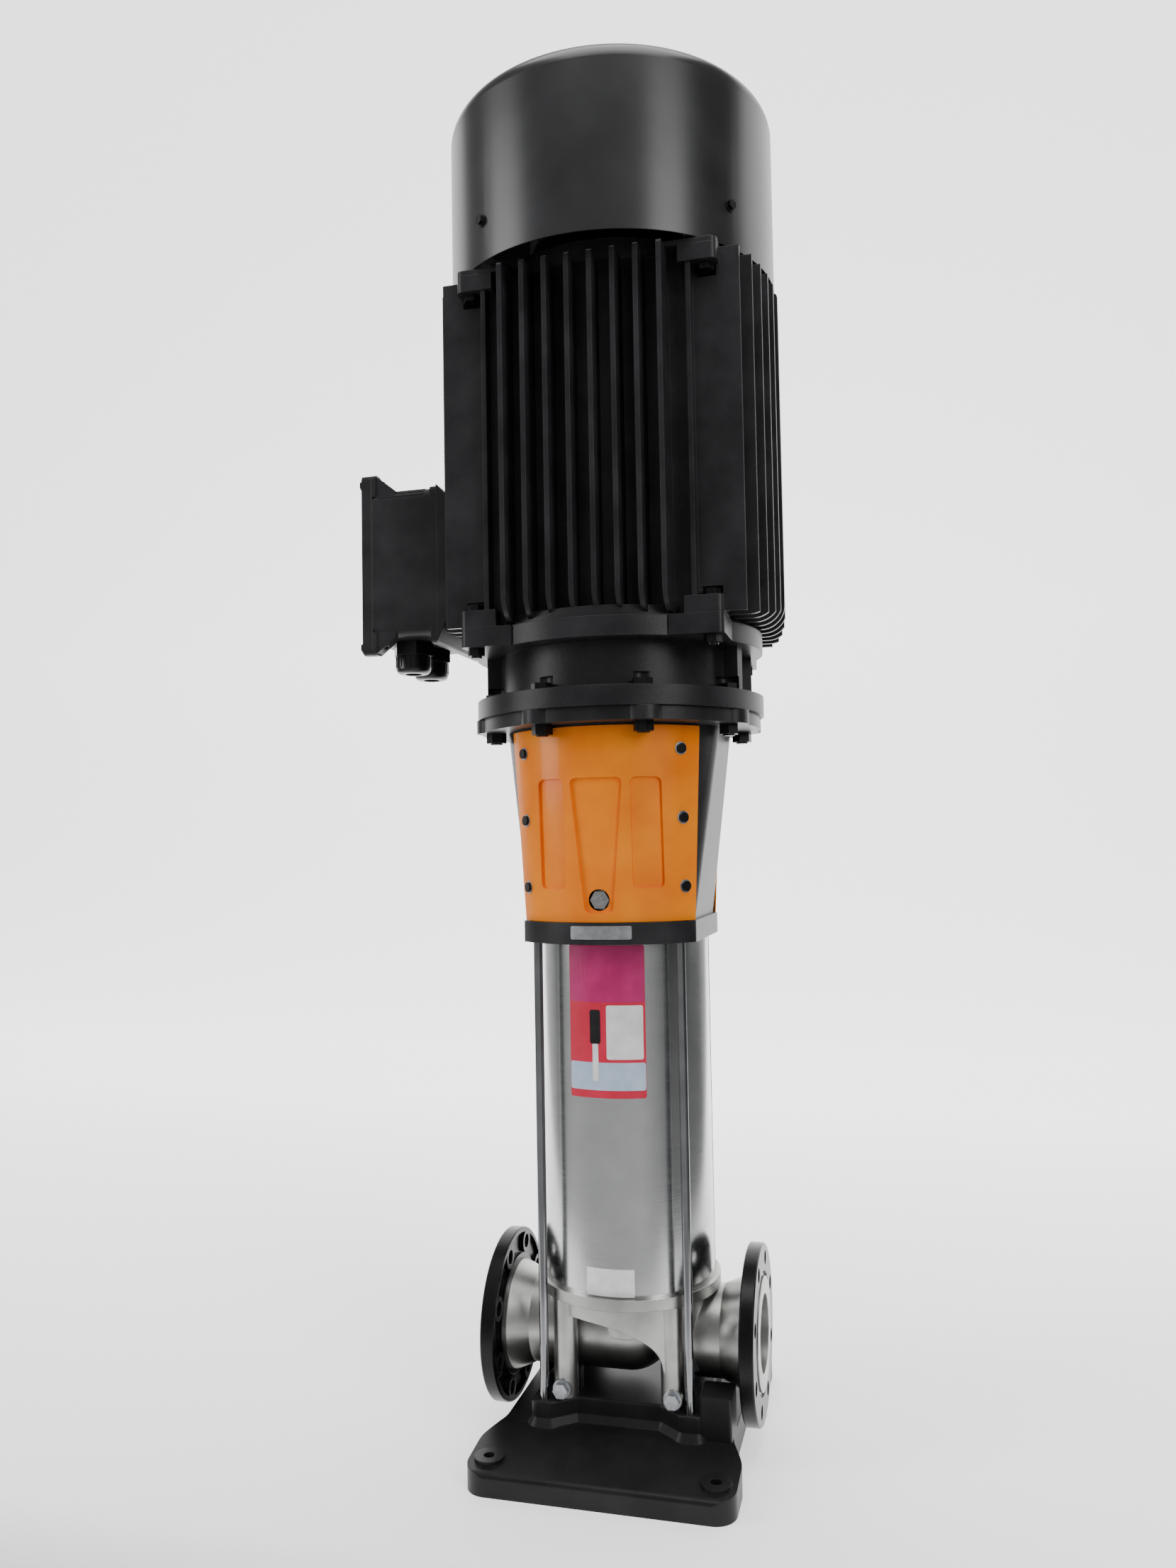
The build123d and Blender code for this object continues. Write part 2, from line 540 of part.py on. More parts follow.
def seal_gland_plate():
    low = head_cone_top
    plate = tube(gland_r, pump_shaft_r + 2, low, low + gland_thick)
    plate -= cyl(seal_bore_r - 6, low - 1, low + 6)
    for place in spin(4, 45):
        plate -= place * cyl(4 + fit_gap, low - 1, low + gland_thick + 1, gland_screw_pcd / 2)
    return plate


def gland_screws():
    top = head_cone_top + gland_thick
    one = cyl(4, head_cone_top - 12, top) + hexagon(13, top, top + 6)
    return group([place * Pos(gland_screw_pcd / 2, 0, 0) * one for place in spin(4, 45)])


def seal_seat():
    return tube(seal_bore_r - 6 - fit_gap, pump_shaft_r + 1, head_cone_top, head_cone_top + 6 - fit_gap)


def seal_rotating_part():
    """Driven half of the shaft seal, with its bellows and carbon face."""
    high, bore = head_cone_top - fit_gap, pump_shaft_r + fit_gap
    outer, waist, face = seal_bore_r - 8, seal_bore_r - 12, seal_bore_r - 10
    return turned([(bore, seal_low), (outer, seal_low), (outer, seal_low + 10), (waist, seal_low + 14),
                   (outer, seal_low + 18), (outer, high - 6), (face, high - 4), (face, high), (bore, high)])


def motor_stool():
    """Lantern casting: square base, two flat cheeks, front and rear windows, and a lobed flange."""
    base = Pos(0, 0, head_seat) * extrude(flat_sided(block_r, block_flat), block_height)
    base = fillet(base.edges().filter_by(Axis.Z), 8)
    base -= cyl(head_flange_r + fit_gap, head_seat - 1, head_seat + head_flange_thick)
    shell = stool_loft(0) - stool_loft(-stool_wall)
    window_top = joint_plane - stool_flange_thick - window_high
    shell -= block(-window_half, window_half, -200, 200, block_top + window_low, window_top)
    for s, t in corner:
        shell -= cyl(nut_pocket_r, block_top, block_top + nut_access, s * rod_place, t * rod_place)
    flange_low = joint_plane - stool_flange_thick
    flange = cyl(stool_flange_r, flange_low, joint_plane)
    for place in spin(motor_bolts, 180 / motor_bolts):
        flange += place * cyl(lobe_r, flange_low, joint_plane, motor_pcd / 2)
    flange -= cyl(motor_spigot_r - 18, flange_low - 1, joint_plane + 1)
    flange -= cyl(motor_spigot_r + fit_gap, joint_plane - motor_spigot - free_gap, joint_plane + 1)
    stool = base - cyl(head_shoulder_r + 10, head_seat, block_top + 1) + shell + flange
    for place in spin(motor_bolts, 180 / motor_bolts):
        stool -= place * cyl(motor_bolt_r + 1, flange_low - 1, joint_plane + 1, motor_pcd / 2)
    for s, t in corner:
        x, y = s * rod_place, t * rod_place
        stool -= cyl(rod_r + 0.5, head_seat - 1, block_top + 1, x, y)
        stool -= cyl(nut_pocket_r, nut_seat, block_top + 1, x, y)
    for hole in guard_screw_holes(guard_screw_r + fit_gap):
        stool -= hole
    return stool


def guard_screw_turn(side, s, z):
    """Angle of a guard screw: each row stands upright, so it narrows as the stool widens."""
    turn = s * degrees(asin(guard_screw_x / stool_radius(z)))
    return turn if side < 0 else turn + 180


def guard_screw_holes(r):
    """Radial cylinders at each guard screw, for both guards."""
    shapes = []
    for side in (-1, 1):
        for s in (-1, 1):
            for rise in guard_screw_heights:
                z = block_top + rise
                reach = stool_radius(z)
                turn = Rot(0, 0, guard_screw_turn(side, s, z))
                shapes.append(turn * cyl_y(r, -reach - 6, -reach + stool_wall + 4, z=z))
    return shapes


def guard_skin(inset, thick):
    """Full turn of the guard's cone, pressed in by inset."""
    low, high = block_top + free_gap, joint_plane - stool_flange_thick - 3
    r0, r1 = [stool_radius(z) + free_gap - inset for z in (low, high)]
    return turned([(r0, low), (r0 + thick, low), (r1 + thick, high), (r1, high)])


def press_outlines():
    """Front view of the three pressed panels: an upright one at each side and a tapered one between."""
    x0, x1 = press_side_x
    low, high = block_top + press_side_low, block_top + press_side_high
    side = Rectangle(x1 - x0, high - low)
    side = Pos((x0 + x1) / 2, (low + high) / 2) * fillet(side.vertices(), press_round)
    a, b = press_mid_low_half, press_mid_high_half
    low, high = block_top + press_mid_low, block_top + press_mid_high
    middle = make_face(Polyline((-a, low), (a, low), (b, high), (-b, high), close=True))
    return [side, mirror(side, Plane.YZ), fillet(middle.vertices(), press_round)]


def coupling_guard(side):
    """Curved sheet cover over a window of the stool, stiffened by pressed panels."""
    reach = 400.0
    x, y = reach * sin(radians(guard_angle)), reach * cos(radians(guard_angle))
    wedge = make_face(Polyline((0, 0), (-x, -y), (0, -reach), (x, -y), close=True))
    sheet = guard_skin(0, guard_thick) & (Pos(0, 0, block_top) * extrude(wedge, stool_height))
    floor, band = guard_skin(press_depth, guard_thick), guard_skin(press_depth, press_depth + guard_thick)
    for outline in press_outlines():
        hole = extrude(Plane.XZ * outline, reach)
        core = extrude(Plane.XZ * offset(outline, -guard_thick), reach)
        sheet = sheet - hole + (floor & hole) + (band & (hole - core))
    if side > 0:
        sheet = Rot(0, 0, 180) * sheet
    else:
        sheet -= cyl_y(guard_vent_hole_r, -200, 0, z=vent_height)
    for hole in guard_screw_holes(guard_hole_r):
        sheet -= hole
    return sheet


def guard_screws():
    solids = []
    for side in (-1, 1):
        for s in (-1, 1):
            for rise in guard_screw_heights:
                z = block_top + rise
                face = stool_radius(z) + free_gap + guard_thick + 0.4
                turn = Rot(0, 0, guard_screw_turn(side, s, z))
                screw = cyl_y(guard_screw_r, -face, -stool_radius(z) + stool_wall - 1, z=z)
                screw += cyl_y(6.5, -face - 3.5, -face, z=z)
                solids.append(turn * screw)
    return group(solids)


# ---------------------------------------------------------------- coupling and shafts

def coupling_half(side):
    low, high = block_top + coupling_low, block_top + coupling_high
    shaft_z = joint_plane - shaft_extension
    sleeve = cyl(coupling_r, low, high)
    sleeve -= cyl(shaft_end_r + fit_gap, shaft_z - 4, high + 1)
    sleeve -= cyl(pump_shaft_r + fit_gap, low - 1, shaft_z)
    y0, y1 = sorted((side * coupling_split / 2, side * 200))
    sleeve = sleeve & block(-200, 200, y0, y1, low - 1, high + 1)
    for x, z in coupling_bolt_places():
        sleeve -= cyl_y(coupling_bolt_r + fit_gap, -200, 200, x=x, z=z)
        face = side * coupling_seat
        sleeve -= cyl_y(11, *sorted((face, side * 200)), x=x, z=z)
    return sleeve


def coupling_bolt_places():
    low, high = block_top + coupling_low, block_top + coupling_high
    return [(s * coupling_bolt_x, z) for s in (-1, 1) for z in (low + 30, high - 30)]


def coupling_bolts():
    solids = []
    for x, z in coupling_bolt_places():
        bolt = cyl_y(coupling_bolt_r, -coupling_seat, coupling_seat, x=x, z=z)
        for side in (-1, 1):
            turn = Rot(-90 * side, 0, 0)
            bolt += Pos(x, side * coupling_seat, z) * turn * hexagon(coupling_bolt_af, 0, 8)
        solids.append(bolt)
    return group(solids)


def pump_shaft():
    low = stage_low - bush_height - 4
    shaft = cyl(pump_shaft_r, low, joint_plane - shaft_extension - 4)
    return chamfer(shaft.edges().filter_by(GeomType.CIRCLE), 1)


def motor_shaft():
    """Stepped shaft: coupling end, two bearing seats, core seat and fan end."""
    low = joint_plane - shaft_extension
    de, nde = de_bearing_low, nde_bearing_low
    end = fan_place + 40
    return turned([(0, low), (shaft_end_r - 1, low), (shaft_end_r, low + 1), (shaft_end_r, de - 2),
                   (bearing_bore, de - 2), (bearing_bore, de + bearing_height),
                   (motor_shaft_r, de + bearing_height), (motor_shaft_r, nde), (bearing_bore, nde),
                   (bearing_bore, nde + bearing_height + 2), (shaft_end_r, nde + bearing_height + 2),
                   (shaft_end_r, end - 1), (shaft_end_r - 1, end), (0, end)])


# ---------------------------------------------------------------- motor

def lugs(z0, z1, root):
    """Four corner lugs for the end shields' bolts, each reaching in to |X| = |Y| = root."""
    solids = []
    for s, t in corner:
        lug = block(s * root, s * lug_face, t * root, t * lug_face, z0, z1)
        outer = [e for e in lug.edges().filter_by(Axis.Z)
                 if abs(e.center().X) > root + 1 and abs(e.center().Y) > root + 1]
        solids.append(fillet(outer, 9))
    return solids


def lug_holes(z0, z1, r):
    return [cyl(r, z0, z1, s * lug_place, t * lug_place) for s, t in corner]


def drive_end_shield():
    """Flanged end shield: mounting flange, bell-shaped neck with ribs, bearing hub and frame ring."""
    hub, floor = bearing_r + 14, de_bearing_low - 8
    bell, register, seat = neck_r - neck_wall, frame_bore - fit_gap, bearing_r + fit_gap
    spigot_in, spigot_low = motor_spigot_r - 14, joint_plane - motor_spigot
    roof, bell_floor = de_bearing_low + bearing_height, shield_low + 8
    shield = turned([(spigot_in, spigot_low), (motor_spigot_r, spigot_low), (motor_spigot_r, joint_plane),
                     (motor_flange_r, joint_plane), (motor_flange_r, shield_low), (neck_r, shield_low),
                     (neck_r, ring_low), (shield_ring_r, ring_low), (shield_ring_r, frame_low),
                     (register, frame_low), (register, frame_low + 6), (register - 10, frame_low + 6),
                     (register - 10, ring_low + 4), (bell, ring_low - 8), (bell, bell_floor),
                     (hub, bell_floor), (hub, roof), (seat, roof), (seat, de_bearing_low),
                     (bearing_bore + 3, de_bearing_low), (bearing_bore + 3, floor), (spigot_in, floor)])
    for lug in lugs(ring_low, frame_low, shield_lug_root):
        shield += lug
    for turn in neck_rib_turns:
        rib = block(neck_r - 4, neck_rib_r, -neck_rib / 2, neck_rib / 2, shield_low - 1, ring_low + 1)
        shield += Rot(0, 0, turn) * rib
    for place in spin(motor_bolts, 180 / motor_bolts):
        shield -= place * cyl(motor_bolt_r + 0.5, joint_plane - 1, shield_low + 1, motor_pcd / 2)
        shield -= place * cyl(bolt_pocket_r, shield_low, shield_low + 20, motor_pcd / 2)
    for hole in lug_holes(ring_low - 1, frame_low + 1, lug_bolt_r + fit_gap):
        shield -= hole
    return shield


def flange_bolts():
    low, high = joint_plane - stool_flange_thick, shield_low
    one = cyl(motor_bolt_r, low - 15, high) + hexagon(motor_bolt_af, high, high + 10)
    one += hexagon(motor_bolt_af, low - 13, low)
    return group([place * Pos(motor_pcd / 2, 0, 0) * one for place in spin(motor_bolts, 180 / motor_bolts)])


def fin_section():
    """Plan of the frame's wall and fins: parallel fins at front and rear, parallel fins at both sides."""
    plan = Sketch() + Circle(frame_bore + frame_wall)
    for i in range(front_fins):
        x = (i - (front_fins - 1) / 2) * fin_pitch
        plan += Pos(x, 0) * Rectangle(fin_thick, 2 * front_fin_reach)
    for s in (-1, 1):
        x = s * (corner_plate_inner - fin_thick / 2)
        plan += Pos(x, 0) * Rectangle(fin_thick, 2 * corner_fin_reach)
    for i, reach in enumerate(side_fin_reach):
        for y in {i * fin_pitch, -i * fin_pitch}:
            plan += Pos(0, y) * Rectangle(2 * reach, fin_thick)
    return plan


def motor_frame():
    """Cast frame: bored barrel, fins, end rings, corner lugs and the saddle for the terminal box."""
    x_out, low, high = side_fin_reach[0], frame_low + 4, frame_high
    envelope = block(-x_out, x_out, -front_fin_reach, front_fin_reach, low, high)
    envelope = fillet(envelope.faces().sort_by(Axis.Z)[0].edges(), fin_round)
    envelope = fillet(envelope.faces().sort_by(Axis.Z)[-1].edges(), fin_top_round)
    frame = extrude(Pos(0, 0, low) * fin_section(), high - low) & envelope
    frame += cyl(frame_ring_r, frame_low, frame_low + frame_ring_height)
    frame += cyl(top_ring_r, frame_high - frame_ring_height, frame_high)
    frame += cyl(frame_bore + frame_wall, frame_low, frame_high)
    upper = lugs(frame_high - lug_height, frame_high, lug_root)
    for lug in lugs(frame_low, frame_low + lug_height, lug_root) + upper:
        frame += lug
    low, high, root = frame_low + saddle_low, frame_low + saddle_high, -frame_bore - 6
    saddle = Polyline((-saddle_reach, box_foot_low), (-saddle_reach, box_foot_high),
                      (saddle_high_slope - saddle_reach, high), (root, high), (root, low),
                      (saddle_low_slope - saddle_reach, low), close=True)
    frame += extrude(make_face(Plane.XZ * saddle), saddle_half, both=True)
    frame -= cyl(frame_bore, frame_low - 1, frame_high + 1)
    for z in (frame_low + lug_height, frame_high - lug_height - head_pocket_height):
        for s, t in corner:
            frame -= cyl(head_pocket_r, z, z + head_pocket_height, s * lug_place, t * lug_place)
    frame -= cyl_x(lead_hole_r, -saddle_reach - 1, -frame_bore + 20, z=box_low + lead_hole_rise)
    for end in (frame_low, frame_high - lug_height):
        for hole in lug_holes(end - 1, end + lug_height + 1, lug_bolt_r + fit_gap):
            frame -= hole
    return frame


def cowl_angles():
    return spin(4, 45 + cowl_screw_turn)


def non_drive_end_shield():
    """Upper end shield: hub, web, lugs under the cowl's rim, and the posts that carry the cowl."""
    hub, low, roof = bearing_r + 14, nde_bearing_low, nde_bearing_low + bearing_height
    register, bore, seat = frame_bore - fit_gap, bearing_bore + 3, bearing_r + fit_gap
    top = frame_high + shield_ring_height
    shield = turned([(register - 10, frame_high - 6), (register, frame_high - 6), (register, frame_high),
                     (top_ring_r, frame_high), (top_ring_r, top), (hub, top), (hub, roof + 8),
                     (bore, roof + 8), (bore, roof), (seat, roof), (seat, low),
                     (hub, low), (hub, top - 9), (register - 10, top - 9)])
    for lug in lugs(frame_high, cowl_rim - 1.5, shield_lug_root):
        shield += lug
    post_low, post_high = cowl_rim + 4, cowl_screw_height + 10
    inside = cyl(cowl_r - cowl_sheet - free_gap, post_low - 1, post_high + 1)
    for place in cowl_angles():
        shield += (place * block(top_ring_r - 14, cowl_r + 10, -9, 9, post_low, post_high)) & inside
    for hole in lug_holes(frame_high - 1, cowl_rim, lug_bolt_r + fit_gap):
        shield -= hole
    for place in cowl_angles():
        shield -= place * cyl_x(cowl_screw_r + fit_gap, cowl_r - 22, cowl_r, z=cowl_screw_height)
    return shield


def shield_bolts():
    """Bolts that hold both end shields to the frame."""
    grip, under = frame_low + lug_height, frame_high - lug_height
    lower = cyl(lug_bolt_r, ring_low - 13, grip) + hexagon(lug_bolt_af, grip, grip + 9)
    lower += hexagon(lug_bolt_af, ring_low - 10, ring_low)
    upper = cyl(lug_bolt_r, under, cowl_rim - 2) + hexagon(lug_bolt_af, under - 9, under)
    places = [Pos(s * lug_place, t * lug_place, 0) for s, t in corner]
    return group([place * bolt for place in places for bolt in (lower, upper)])


def bearing_outer_rings():
    """Outer races with their cover plates."""
    solids = []
    for low in (de_bearing_low, nde_bearing_low):
        high = low + bearing_height
        ring = tube(bearing_r, bearing_r - bearing_race, low, high)
        for z in (low, high - 1.5):
            ring += tube(bearing_r - bearing_race + 1, bearing_bore + bearing_race + free_gap, z, z + 1.5)
        solids.append(ring)
    return group(solids)


def bearing_inner_rings():
    return group([tube(bearing_bore + bearing_race, bearing_bore + fit_gap, low, low + bearing_height)
                  for low in (de_bearing_low, nde_bearing_low)])


def stator_core():
    return tube(frame_bore - fit_gap, rotor_r + air_gap, core_low, core_high)


def stator_windings():
    """End turns of the winding at both ends of the core."""
    r_in, r_out, h = rotor_r + 8, frame_bore - 10, winding_overhang
    ring = turned([(r_in, 0), (r_out, 0), (r_out, h - 10), (r_out - 10, h), (r_in + 10, h), (r_in, h - 10)])
    return group([Pos(0, 0, core_high) * ring, Pos(0, 0, core_low) * Rot(180, 0, 0) * ring])


def rotor_core():
    """Laminated core with its short-circuit rings."""
    core = tube(rotor_r, motor_shaft_r + fit_gap, core_low, core_high)
    for z in (core_low - 16, core_high - 1):
        core += tube(rotor_r - 6, motor_shaft_r + 24, z, z + 17)
    return core


def cooling_fan():
    """Radial fan that cools in both directions of rotation."""
    low, high = fan_place, fan_place + fan_blade_height
    root, plate_r = fan_hub_r - 2, fan_r * 0.62
    fan = tube(fan_hub_r, shaft_end_r + fit_gap, low, low + fan_hub_height)
    fan += tube(plate_r, root, low, low + fan_plate)
    outline = Polyline((root, low), (plate_r, low), (fan_r, low + 14), (fan_r, high),
                       (fan_r * 0.55, high), (root, low + fan_hub_height - 4), close=True)
    blade = extrude(make_face(Plane.XZ * outline), fan_blade_thick / 2, both=True)
    for place in spin(fan_blades):
        fan += place * blade
    return fan


def fan_cowl():
    """Pressed sheet hood with rings of curved slots in its top."""
    skin = cyl(cowl_r, cowl_rim, cowl_top)
    skin = fillet(skin.faces().sort_by(Axis.Z)[-1].edges(), cowl_round)
    inner = cyl(cowl_r - cowl_sheet, cowl_rim - 1, cowl_top - cowl_sheet)
    skin -= fillet(inner.faces().sort_by(Axis.Z)[-1].edges(), cowl_round - cowl_sheet)
    z = cowl_top - cowl_sheet - 1
    slots = Part() + [tube(r + slot_width / 2, r - slot_width / 2, z, cowl_top + 1) for r in grille_rings]
    for place in spin(grille_slots):
        slots -= place * block(10, cowl_r, -grille_bridge / 2, grille_bridge / 2, z - 1, cowl_top + 2)
    skin -= slots
    for place in cowl_angles():
        skin -= place * cyl_x(cowl_screw_r + 0.5, cowl_r - 10, cowl_r + 5, z=cowl_screw_height)
    return skin


def cowl_screws():
    screw = cyl_x(cowl_screw_r, cowl_r - 20, cowl_r + 1.5, z=cowl_screw_height)
    screw += cyl_x(8, cowl_r + 0.1, cowl_r + 1.6, z=cowl_screw_height)
    screw += Pos(cowl_r + 1.6, 0, cowl_screw_height) * Rot(0, 90, 0) * hexagon(11, 0, 5)
    return group([place * screw for place in cowl_angles()])


# ---------------------------------------------------------------- terminal box

def ear_centres():
    y = box_half - ear_side / 2
    return [(t * y, z) for t in (-1, 1) for z in (box_low - ear_reach / 2, box_high + ear_reach / 2)]


def ears(x, thick):
    """Four rounded screw ears above and below the corners of the box, as slabs from x towards the motor."""
    slabs = []
    for y, z in ear_centres():
        inner = 20.0
        slab = block(x, x + thick, y - ear_side / 2, y + ear_side / 2, z - ear_reach / 2, z + ear_reach / 2)
        slab = fillet(slab.edges().filter_by(Axis.X), ear_round)
        root = z - inner if z > box_high else z
        slabs.append(slab + block(x, x + thick, y - ear_side / 2, y + ear_side / 2, root, root + inner))
    return slabs


def box_outline(x, thick):
    """Rounded rectangle with an ear at each corner, as a slab from x towards the motor."""
    slab = block(x, x + thick, -box_half, box_half, box_low, box_high)
    for ear in ears(x, thick):
        slab += ear
    return slab


def terminal_box():
    """Cast box, open towards its lid, with tapered screw bosses and two cable entries below."""
    box = block(-box_far, -saddle_reach, -box_half, box_half, box_low, box_high)
    box = fillet(box.edges().filter_by(Axis.X), box_round)
    foot_face, half = -saddle_reach - box_foot_thick, box_half - box_wall
    foot = block(foot_face, -saddle_reach, -box_half, box_half, box_foot_low, box_foot_high)
    box += fillet(foot.edges().filter_by(Axis.X), 8)
    for slab in ears(-box_far, ear_lug):
        box += slab
    for y, z in ear_centres():
        wall, way = (box_high, 1) if z > box_high else (box_low, -1)
        tip, root, end = wall + way * (ear_reach - 2), wall - way * box_round, ear_slope - box_far
        outline = Polyline((1 - box_far, root), (1 - box_far, tip), (ear_lug - box_far, tip),
                           (end, wall - way), (end, root), close=True)
        box += Pos(0, y, 0) * extrude(make_face(Plane.XZ * outline), ear_side / 2 - 2, both=True)
    inside = block(-box_far - 1, foot_face, -half, half, box_low + box_wall, box_high - box_wall)
    box -= fillet(inside.edges().filter_by(Axis.X), box_round - box_wall)
    for y in gland_places:
        box -= cyl(cable_gland_r - 5 + fit_gap, box_low - 1, box_low + box_wall + 1, -gland_x, y)
    box -= cyl_x(lead_hole_r, foot_face - 1, -saddle_reach + 1, z=box_low + lead_hole_rise)
    for y, z in ear_centres():
        box -= cyl_x(ear_screw_r + fit_gap, -box_far - 1, -box_far + 18, y, z)
    return box


def terminal_box_gasket():
    x = -box_far - gasket_thick
    gasket = box_outline(x, gasket_thick)
    gasket -= block(x - 1, x + 5, -box_half + 12, box_half - 12, box_low + 12, box_high - 12)
    for y, z in ear_centres():
        gasket -= cyl_x(ear_screw_r + 0.5, x - 1, x + 5, y, z)
    return gasket


def terminal_box_lid():
    x = -box_far - gasket_thick - lid_thick
    lid = box_outline(x, lid_thick)
    panel = block(x - lid_panel, x + 1, -box_half + 20, box_half - 20, box_low + 18, box_high - 18)
    lid += fillet(panel.edges().filter_by(Axis.X), 14)
    for y, z in ear_centres():
        lid -= cyl_x(ear_screw_r + 0.5, x - 1, x + lid_thick + 1, y, z)
    return lid


def lid_screws():
    x = -box_far - gasket_thick - lid_thick
    solids = []
    for y, z in ear_centres():
        screw = cyl_x(ear_screw_r, x, -box_far + 14, y, z)
        solids.append(screw + Pos(x - 5, y, z) * Rot(0, 90, 0) * hexagon(13, 0, 5))
    return group(solids)


def terminal_board():
    """Insulating board with six studs for the supply and the winding ends."""
    face, z_mid = -saddle_reach - box_foot_thick, (box_low + box_high) / 2 + 18
    board = block(face - 12, face, -52, 52, z_mid - 34, z_mid + 34)
    for y in (-32, 0, 32):
        for z in (z_mid - 18, z_mid + 18):
            board += cyl_x(3, face - 34, face - 11, y, z)
            board += Pos(face - 18, y, z) * Rot(0, 90, 0) * hexagon(10, 0, 7)
    return board


def cable_glands():
    """Hexagon body, threaded neck and domed cap, bored for a cable."""
    low, high = box_low - gland_hex, box_low + box_wall + 8
    gland = cyl(cable_gland_r - 5, box_low - 1, high) + hexagon(2 * cable_gland_r + 2, low, box_low)
    cap = cyl(cable_gland_r, low - gland_cap, low)
    gland += fillet(cap.faces().sort_by(Axis.Z)[0].edges(), 8)
    gland -= cyl(cable_bore, low - gland_cap - 1, high + 1)
    return group([Pos(-gland_x, y, 0) * gland for y in gland_places])


# ---------------------------------------------------------------- all nodes

def nodes():
    made = {
        "base_plate": base_plate, "pump_body": pump_body, "leg_bolts": leg_bolts,
        "drain_plug": drain_plug, "inlet_flange": lambda: port_flange(-1),
        "outlet_flange": lambda: port_flange(1), "flange_retaining_rings": flange_retaining_rings,
        "outer_sleeve": outer_sleeve, "sleeve_o_rings": sleeve_o_rings, "tie_rods": tie_rods,
        "tie_rod_nuts": tie_rod_nuts, "suction_interconnector": suction_interconnector,
        "bottom_bearing_bush": bottom_bearing_bush, "discharge_guide": discharge_guide,
        "impeller_spacers": impeller_spacers, "pump_head": pump_head, "vent_plug": vent_plug,
        "seal_gland_plate": seal_gland_plate, "gland_screws": gland_screws, "seal_seat": seal_seat,
        "seal_rotating_part": seal_rotating_part, "motor_stool": motor_stool,
        "front_coupling_guard": lambda: coupling_guard(-1),
        "rear_coupling_guard": lambda: coupling_guard(1), "guard_screws": guard_screws,
        "coupling_front_half": lambda: coupling_half(-1),
        "coupling_rear_half": lambda: coupling_half(1), "coupling_bolts": coupling_bolts,
        "pump_shaft": pump_shaft, "motor_shaft": motor_shaft, "drive_end_shield": drive_end_shield,
        "flange_bolts": flange_bolts, "motor_frame": motor_frame,
        "non_drive_end_shield": non_drive_end_shield, "shield_bolts": shield_bolts,
        "bearing_outer_rings": bearing_outer_rings, "bearing_inner_rings": bearing_inner_rings,
        "stator_core": stator_core, "stator_windings": stator_windings, "rotor_core": rotor_core,
        "cooling_fan": cooling_fan, "fan_cowl": fan_cowl, "cowl_screws": cowl_screws,
        "terminal_box": terminal_box, "terminal_box_gasket": terminal_box_gasket,
        "terminal_box_lid": terminal_box_lid, "lid_screws": lid_screws,
        "terminal_board": terminal_board, "cable_glands": cable_glands,
    }
    for i in range(stage_count):
        made[f"stage_chamber_{i + 1}"] = lambda i=i: stage_chamber(i)
        made[f"impeller_{i + 1}"] = lambda i=i: impeller(i)
    return made


os.makedirs("parts", exist_ok=True)
for name, make in nodes().items():
    export_step(make(), f"parts/{name}.step")
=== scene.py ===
import json
import math

import bmesh
import bpy
from mathutils import Matrix, Vector


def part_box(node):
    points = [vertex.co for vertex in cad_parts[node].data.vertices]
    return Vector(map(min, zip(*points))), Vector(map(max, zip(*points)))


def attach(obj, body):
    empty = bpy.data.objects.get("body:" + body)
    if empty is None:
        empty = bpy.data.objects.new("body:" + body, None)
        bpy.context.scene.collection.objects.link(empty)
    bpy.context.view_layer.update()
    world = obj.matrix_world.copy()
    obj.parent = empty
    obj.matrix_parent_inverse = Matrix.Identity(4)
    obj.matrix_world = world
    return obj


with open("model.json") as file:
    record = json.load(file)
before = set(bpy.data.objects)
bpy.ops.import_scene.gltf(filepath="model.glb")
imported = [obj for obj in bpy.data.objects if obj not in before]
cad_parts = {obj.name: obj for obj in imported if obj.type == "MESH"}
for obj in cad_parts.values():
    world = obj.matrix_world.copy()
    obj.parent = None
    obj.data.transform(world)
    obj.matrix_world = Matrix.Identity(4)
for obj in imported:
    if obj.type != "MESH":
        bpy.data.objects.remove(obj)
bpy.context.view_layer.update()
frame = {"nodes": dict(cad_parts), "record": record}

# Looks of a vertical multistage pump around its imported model, in metres: +Z up the shaft, -Y the front.
MM = 0.001
MIX_A, MIX_B = 6, 7                       # places of a Mix node's two colour inputs

# ---------------------------------------------------------------- colours and nodes


def colour(hex_code):
    """sRGB hex to linear RGBA."""
    channels = [int(hex_code[i:i + 2], 16) / 255 for i in (1, 3, 5)]
    linear = [c / 12.92 if c <= 0.04045 else ((c + 0.055) / 1.055) ** 2.4 for c in channels]
    return (*linear, 1.0)


def add(tree, kind, inputs=None, **settings):
    """Adds one node: settings are its own properties, and inputs are values or the sockets that feed them."""
    made = tree.nodes.new(kind)
    for key, value in settings.items():
        setattr(made, key, value)
    for key, value in (inputs or {}).items():
        if isinstance(value, bpy.types.NodeSocket):
            tree.links.new(value, made.inputs[key])
        else:
            made.inputs[key].default_value = value
    return made


def start_material(name, **surface):
    """Material with a Principled shader; constants go straight on its sockets."""
    material = bpy.data.materials.new(name)
    material.use_nodes = True
    tree = material.node_tree
    tree.nodes.clear()
    inputs = {key.replace("_", " "): value for key, value in surface.items()}
    shader = add(tree, "ShaderNodeBsdfPrincipled", inputs)
    add(tree, "ShaderNodeOutputMaterial", {"Surface": shader.outputs["BSDF"]})
    place = add(tree, "ShaderNodeTexCoord").outputs["Object"]
    return material, tree, shader, place


